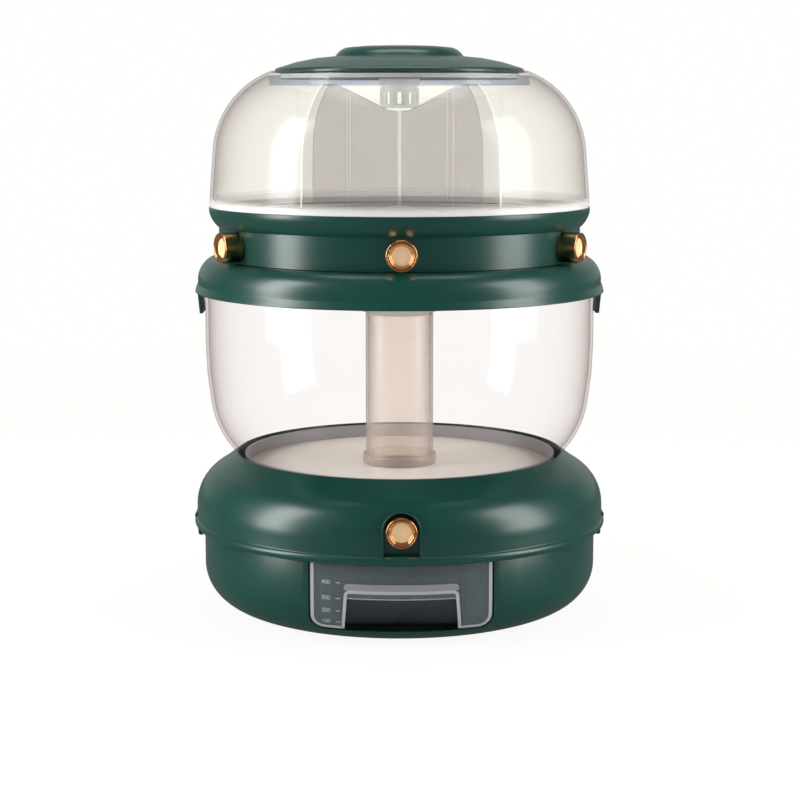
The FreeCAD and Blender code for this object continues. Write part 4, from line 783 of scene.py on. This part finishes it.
def turned_copy(piece, name, angle):
    """A copy with its own mesh, turned about the upright axis and set down there."""
    select_only(piece)
    bpy.ops.object.duplicate()
    copy = bpy.context.object
    copy.name = copy.data.name = name
    copy.rotation_euler.z = angle
    bpy.ops.object.transform_apply(location=True, rotation=True, scale=True)
    return copy


# %% [markdown]
# The divider splits the container into six. Six thin clear walls meet on the axis, each with one
# upright rib on both faces, and a hoop ties their tops together under the lid. One wall is drawn
# and copied round. A clear wall carries light along inside it and lets it out at its edges. That
# light is painted on: the edge faces get a second, paler and milkier material, a painted glow. The
# edge faces are chosen as the faces that don't look sideways.

# %% Divider
WALLS = 6
WALL = 1.5
WALL_EASE = 0.3
reach, low, top = size_of("divider")
hoop_foot = top - 6.5
WALL_FOOT = low + 6
wall = slab("divider_walls", (
    (0, low + 5.5),
    (reach - 4.6, low),
    (reach, low),
    (reach, low + 9.7),
    (reach - 1.3, low + 45.6),
    (reach - 28.8, hoop_foot + 1, 62.8),
    (reach - 40, hoop_foot + 1),
    (16.2, hoop_foot - 18),
    (0, hoop_foot - 18.5),
), -WALL / 2, WALL / 2)
round_edges(wall, WALL_EASE, segments=2)
RIB_PLACE, RIB_HALF, RIB_PROUD = 74, 0.8, 0.5
rib = slab("rib", (
    (RIB_PLACE - RIB_HALF, low + 3), (RIB_PLACE + RIB_HALF, low + 3),
    (RIB_PLACE + RIB_HALF, hoop_foot - 3), (RIB_PLACE - RIB_HALF, hoop_foot - 3),
), -WALL / 2 - RIB_PROUD, WALL / 2 + RIB_PROUD, ease=WALL_EASE)
combine(wall, round_edges(rib, WALL_EASE, segments=2), "UNION")
for layer in (clear_wall, wall_edge_light_paint):
    wall.data.materials.append(layer)
SIDEWAYS = 0.5
RIB_CLEAR = 2
# Edge faces get layer 1, the painted glow; the faces that look sideways keep the clear wall.
for face in wall.data.polygons:
    off_rib = abs(face.center.x / MM - RIB_PLACE) > RIB_CLEAR
    edge_on = abs(face.normal.y) < SIDEWAYS and off_rib
    face.material_index = 1 if edge_on and face.center.z / MM > WALL_FOOT else 0
for number in range(1, WALLS):
    other = turned_copy(wall, "wall", math.tau / WALLS * number)
    if number == 1:
        rest = other
    else:
        rest = combine(rest, other, "UNION")
combine(wall, rest, "UNION")
finish(wall, (clear_wall, wall_edge_light_paint), "carousel", "frosted", "divider")
hoop = turned("divider_hoop", (
    (reach - 41.5, hoop_foot), (reach - 40, hoop_foot), (reach - 40, top), (reach - 41.5, top),
), ease=0.4)
finish(hoop, hoop_band, "carousel", "frosted")

# %% [markdown]
# A push button is a plated cap: a rounded rim, a fine groove inside it, a coned dish and a flat
# brushed face. It is turned lying on its back and then laid on its side. The front button of the
# carousel is copied round for the other five compartments.

# %% Push buttons
BUTTON_STEPS = 96
BUTTON_EASE = 0.25
GOLD = (rose_gold, gold_face)
FACE_RADIUS = 6.9
FACE_LEVEL = -2.5
UPWARD = 0.9
CAP_CORNERS = (
    (0, -3.8), (9, -3.8), (9, -20.7), (10.6, -20.7), (10.6, -0.6), (10, 0, 0.6), (9.5, 0),
    (9.3, -0.6), (9, -0.6), (8.8, 0), (8.3, 0), (6.7, -2.2), (0, -2.2),
)


def button(name, node):
    """A button cap, turned about its own axis and laid where its CAD node lies."""
    low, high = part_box(node)
    cap = turned(name, CAP_CORNERS, ease=BUTTON_EASE, steps=BUTTON_STEPS)
    for layer in GOLD:
        cap.data.materials.append(layer)
    for face in cap.data.polygons:
        flat = face.normal.z > UPWARD and face.center.z / MM > FACE_LEVEL
        face.material_index = 1 if flat and face.center.xy.length / MM < FACE_RADIUS else 0
    select_only(cap)
    cap.rotation_euler.x = math.radians(90)
    cap.location = (0, low.y, (low.z + high.z) / 2)
    bpy.ops.object.transform_apply(location=True, rotation=True, scale=True)
    return cap


base_cap = button("base_button", "base_button_cap")
finish(base_cap, GOLD, "discharge_button", "rose_gold", "base_button_cap")
first = button("carousel_button_1", "button_cap_1")
caps = [first] + [
    turned_copy(first, "carousel_button_%d" % (number + 1), math.tau / WALLS * number)
    for number in range(1, WALLS)
]
for number, cap in enumerate(caps, start=1):
    finish(cap, GOLD, "button_%d" % number, "rose_gold", "button_cap_%d" % number)

# %% [markdown]
# The upper ring closes the bucket and carries the carousel's bearing in a channel on its top. Its
# lower edge flares into a small lip, and a slot at each side takes a latch.

# %% Upper ring
_, low, top = size_of("upper_ring")
reach = -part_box("upper_ring")[0].y / MM
ring = turned("bucket_ring", (
    (reach - 2.1, low),
    (reach, low),
    (reach, low + 0.7),
    (reach - 2.1, low + 5.6),
    (reach - 2.1, low + 9),
    (reach - 10.88, top, 17.2),
    (reach - 24.9, top),
    (reach - 24.9, top - 7.4),
    (reach - 38.9, top - 7.4),
    (reach - 38.9, top - 1.8),
    (reach - 43.6, top - 1.8),
    (reach - 43.6, top - 9.8),
    (reach - 22.5, top - 9.8),
    (reach - 22.5, top - 2.4),
    (reach - 13.3, top - 2.4),
    (reach - 13.3, low + 10.1),
    (reach - 10.8, low + 10.1),
    (reach - 10.8, top - 2.88),
    (reach - 4.5, low + 9, -14.8),
    (reach - 4.5, low + 5),
))
SLOT_HALF = 12.4
SLOT_LENGTH = 20


def side_slots(piece, inner, low, high):
    """Cuts a latch slot through the wall at each side."""
    outer = inner + SLOT_LENGTH
    right = slab("slot", ((inner, low), (outer, low), (outer, high), (inner, high)),
                 -SLOT_HALF, SLOT_HALF, ease=0)
    left = turned_copy(right, "slot_left", math.pi)
    combine(piece, right, "DIFFERENCE")
    return combine(piece, left, "DIFFERENCE")


side_slots(ring, reach - 7.5, low - 3, low + 8)
finish(ring, green, "base", "dark_green", "upper_ring")

# %% [markdown]
# The shoulder is the round cushion-like cover of the base. It is turned in one piece, with a bead
# along its lower edge. The bead stands out furthest, so the rest is measured in from it. An arched
# boss in front frames the discharge button: it is joined on, then its recess and the button's hole
# are cut.

# %% Shoulder
BEAD_PROUD = 1.9
BOSS_PROUD = 0.3
low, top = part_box("base_shoulder")[0].z / MM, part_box("base_shoulder")[1].z / MM
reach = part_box("base_shoulder")[1].y / MM - BEAD_PROUD
boss_face = -reach - BOSS_PROUD
shoulder = turned("base_cover", (
    (reach - 1.6, low),
    (reach, low + 6.61, 3.5),
    (reach, low + 15.8),
    (reach - 17.81, low + 45.04, 32.9),
    (reach - 30.8, top),
    (reach - 30.8, low + 35.6),
    (reach - 37.1, low + 35.6),
    (reach - 37.1, low + 38.6),
    (reach - 44.7, low + 38.6),
    (reach - 44.7, low + 33.2),
    (reach - 28.4, low + 33.2),
    (reach - 28.4, top - 4.16),
    (reach - 19, low + 42.73),
    (reach - 2.6, low + 15.8, -30.3),
    (reach - 2.6, low + 9.6),
    (reach - 11.1, low + 9.6),
    (reach - 11.1, low + 4.1),
    (reach - 8.5, low + 4.1),
    (reach - 8.5, low + 7),
    (reach - 4.7, low + 7),
    (reach - 4.7, low),
))
cap_low, cap_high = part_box("base_button_cap")
axis = (cap_low.z + cap_high.z) / 2 / MM
side_slots(shoulder, reach - 6.3, low - 3, low + 6.6)


def arch(name, half, foot, front, back):
    """An arched block: straight sides from its foot, and a half round top about the button."""
    return slab(name, (
        (-half, foot), (half, foot), (half, axis), (-half, axis, half),
    ), front, back, ease=0)


BOSS_HALF, BOSS_DEPTH, BOSS_EASE = 13.5, 9, 0.4
RECESS_HALF, RECESS_DEPTH = 12.3, 5.8
HOLE_RADIUS, HOLE_DEPTH = 10.9, 20
TOOL_PROUD = 5
boss = arch("boss", BOSS_HALF, low + 7.1, boss_face, boss_face + BOSS_DEPTH)
combine(shoulder, round_edges(boss, BOSS_EASE), "UNION")
recess = arch("recess", RECESS_HALF, low + 7, boss_face - TOOL_PROUD, boss_face + RECESS_DEPTH)
combine(shoulder, recess, "DIFFERENCE")
hole = slab("hole", (
    (HOLE_RADIUS, axis), (-HOLE_RADIUS, axis, HOLE_RADIUS), (HOLE_RADIUS, axis, HOLE_RADIUS),
), boss_face - TOOL_PROUD, boss_face + HOLE_DEPTH, ease=0)
combine(shoulder, hole, "DIFFERENCE")
finish(shoulder, green, "base", "dark_green", "base_shoulder")

# %% [markdown]
# The drawer, the bowl and the latches have shapes that booleans left with hard edges. A copy of
# each CAD mesh is merged, its flat triangles are joined into whole faces, and its edges are
# rounded, so it stays exactly where it fits and still looks moulded.

# %% Softened copies
FLAT = math.radians(0.5)


def softened(name, node, width, segments=3, layer=-1):
    """A copy of a CAD mesh, merged and dissolved, with its edges rounded."""
    mesh = NODES[node].data.copy()
    mesh.name = name
    piece = bpy.data.objects.new(name, mesh)
    scene.collection.objects.link(piece)
    select_only(piece)
    bpy.ops.object.mode_set(mode="EDIT")
    bpy.ops.mesh.select_all(action="SELECT")
    bpy.ops.mesh.remove_doubles(threshold=MERGE * MM)
    bpy.ops.mesh.dissolve_limited(angle_limit=FLAT)
    bpy.ops.object.mode_set(mode="OBJECT")
    return round_edges(piece, width, segments, layer=layer)


# The rounded edges take layer 1, a paler tint painted on for light gathered in them.
drawer = softened("drawer", "measuring_drawer", 0.9, layer=1)
finish(drawer, (drawer_clear, drawer_edge_light_paint), "drawer", "smoke_drawer", "measuring_drawer")

# %% [markdown]
# The drawer's front is flush with the bowl, so it curves like the bowl: round the upright axis, and
# inwards below the knee where the bowl's wall turns into its floor. What lies on this face, such as
# its rim and its scale, is drawn flat and then each point is pushed back onto the curve.

# %% Drawer face
low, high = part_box("measuring_drawer")
half, floor_height, top = high.x / MM, low.z / MM, high.z / MM
front = -low.y / MM
BOWL_KNEE = 32.5
BOWL_CURVE = 30.7
PROUD = 0.14
SIDE_STEP = 3.0


def face_depth(x, z):
    """How far in front of the axis the drawer's curved face lies, in millimetres."""
    drop = max(BOWL_KNEE - z, 0)
    reach = front - BOWL_CURVE + math.sqrt(BOWL_CURVE ** 2 - drop ** 2)
    return math.sqrt(reach ** 2 - x ** 2)


def on_face(piece):
    """Pushes a flat piece, drawn round the plane of the axis, onto the drawer's face."""
    for vertex in piece.data.vertices:
        x, y, z = vertex.co / MM
        vertex.co.y = (y - face_depth(x, z)) * MM
    select_only(piece)
    bpy.ops.object.shade_smooth_by_angle(angle=SMOOTH)
    return piece


def divided(points):
    """A closed outline with no long side, so that it can follow a curve."""
    made = []
    for here, there in zip(points, points[1:] + points[:1]):
        count = max(1, math.ceil((there - here).length / SIDE_STEP))
        made += [here.lerp(there, number / count) for number in range(count)]
    return made


def flat_band(name, corners, width=None):
    """A thin plate on the drawer's face, or only its border of a width."""
    piece = draw(name, divided(outline(corners)), True)
    bpy.ops.mesh.edge_face_add()
    if width:
        bpy.ops.mesh.inset(thickness=width * MM)
        bpy.ops.mesh.delete(type="FACE")
        bpy.ops.mesh.select_all(action="SELECT")
    else:
        bpy.ops.mesh.quads_convert_to_tris()
    bpy.ops.transform.translate(value=(0, -PROUD * MM, 0))
    bpy.ops.mesh.extrude_region_move(TRANSFORM_OT_translate={"value": (0, 2 * PROUD * MM, 0)})
    return on_face(close_up(piece))


# %% [markdown]
# The front is a clear panel with a thicker rim, and the rim also runs round the finger recess. Light
# gathers in the thick plastic, and that light is painted on: the rim is a separate band in a paler,
# milkier material, a painted glow. The panel's outline is filled and inset by the rim's width, and
# its middle is deleted, which leaves the rim as one closed band.

# %% Drawer rim
RIM = 2.2
EDGE = 0.5
CORNER, TOP_CORNER = 9.5, 2.5
left, right = EDGE - half, half - EDGE
bottom, ceiling = floor_height + EDGE, top - EDGE
RECESS_LOW, RECESS_HIGH = 39.2, 37.3
RECESS_CORNER = 2.0
recess_roof = floor_height + 27.5
rim = flat_band("drawer_rim_glow_paint", (
    (-RECESS_LOW, bottom), (-RECESS_HIGH, recess_roof - RECESS_CORNER),
    (RECESS_CORNER - RECESS_HIGH, recess_roof, -RECESS_CORNER),
    (RECESS_HIGH - RECESS_CORNER, recess_roof),
    (RECESS_HIGH, recess_roof - RECESS_CORNER, -RECESS_CORNER), (RECESS_LOW, bottom),
    (right - CORNER, bottom), (right, bottom + CORNER, CORNER),
    (right, ceiling - TOP_CORNER), (right - TOP_CORNER, ceiling, TOP_CORNER),
    (left + TOP_CORNER, ceiling), (left, ceiling - TOP_CORNER, TOP_CORNER),
    (left, bottom + CORNER), (left + CORNER, bottom, CORNER),
), RIM)
finish(rim, drawer_edge_light_paint, "drawer", "smoke_drawer")

# %% [markdown]
# Over the recess the wall steps back, and the step's top catches light. The step isn't modelled: a
# pale plate above the rim is its painted highlight. A fine pale line below it is the painted
# highlight of the recess's front edge. Both are thin plates on the same face.

# %% Ledge and lip highlights
LEDGE_HALF, LEDGE_DEEP, LEDGE_CORNER = 39.5, 4.6, 3.0
LIP_DROP, LIP_LINE = 3.7, 0.5
ledge_low = recess_roof + RIM
ledge_high = ledge_low + LEDGE_DEEP
ledge = flat_band("drawer_ledge_highlight_paint", (
    (-LEDGE_HALF, ledge_low), (LEDGE_HALF, ledge_low), (LEDGE_HALF, ledge_high - LEDGE_CORNER),
    (LEDGE_HALF - LEDGE_CORNER, ledge_high, LEDGE_CORNER),
    (LEDGE_CORNER - LEDGE_HALF, ledge_high),
    (-LEDGE_HALF, ledge_high - LEDGE_CORNER, LEDGE_CORNER),
))
finish(ledge, drawer_ledge_highlight_paint, "drawer", "smoke_drawer")
lip_low = recess_roof - LIP_DROP
# The lip is a painted highlight: a fine pale line where the recess's front edge catches light.
lip = flat_band("drawer_lip_highlight_paint", (
    (-RECESS_HIGH, lip_low), (RECESS_HIGH, lip_low),
    (RECESS_HIGH, lip_low + LIP_LINE), (-RECESS_HIGH, lip_low + LIP_LINE),
))
finish(lip, drawer_edge_light_paint, "drawer", "smoke_drawer")

# %% [markdown]
# The scale on the panel is plain generic measuring marks: four numbers with a tick beside each.
# Text is typed, made a mesh, stood up, and pushed onto the same face.

# %% Drawer scale
MARKS = ((46.5, "400"), (35.5, "300"), (26.5, "200"), (18.0, "100"))
TEXT_SIZE = 4.2
TEXT_LEFT = -55.0
TICK_LEFT, TICK_RIGHT = -45.0, -41.8
TICK_HALF = 0.22
TEXT_DEPTH = 0.1
marks = []
for height, number in MARKS:
    select_only(rim)
    bpy.ops.object.text_add(location=(0, 0, 0))
    text = bpy.context.object
    text.data.body = number
    text.data.size = TEXT_SIZE * MM
    text.data.align_y = "CENTER"
    text.data.extrude = TEXT_DEPTH * MM
    bpy.ops.object.convert(target="MESH")
    text = bpy.context.object
    text.rotation_euler.x = math.radians(90)
    text.location = (TEXT_LEFT * MM, 0, height * MM)
    bpy.ops.object.transform_apply(location=True, rotation=True, scale=True)
    marks.append(on_face(text))
    tick = ((TICK_LEFT, height - TICK_HALF), (TICK_RIGHT, height - TICK_HALF),
            (TICK_RIGHT, height + TICK_HALF), (TICK_LEFT, height + TICK_HALF))
    marks.append(flat_band("tick", tick))
select_only(marks[0])
for mark in marks:
    mark.select_set(True)
bpy.ops.object.join()
scale = bpy.context.object
scale.name = scale.data.name = "drawer_scale"
finish(scale, scale_print, "drawer", "smoke_drawer")

# %% [markdown]
# The bowl and the latches are softened in the same way as the drawer was, by a finer radius.

# %% Bowl and latches
FINE = 0.4
bowl = softened("bowl", "base_bowl", FINE, segments=2)
finish(bowl, green, "base", "dark_green", "base_bowl")
for tier in ("upper", "lower"):
    for side in ("right", "left"):
        node = "%s_latch_%s" % (tier, side)
        latch = softened(node + "_clip", node, FINE, segments=2)
        finish(latch, latch_green, node, "dark_green", node)
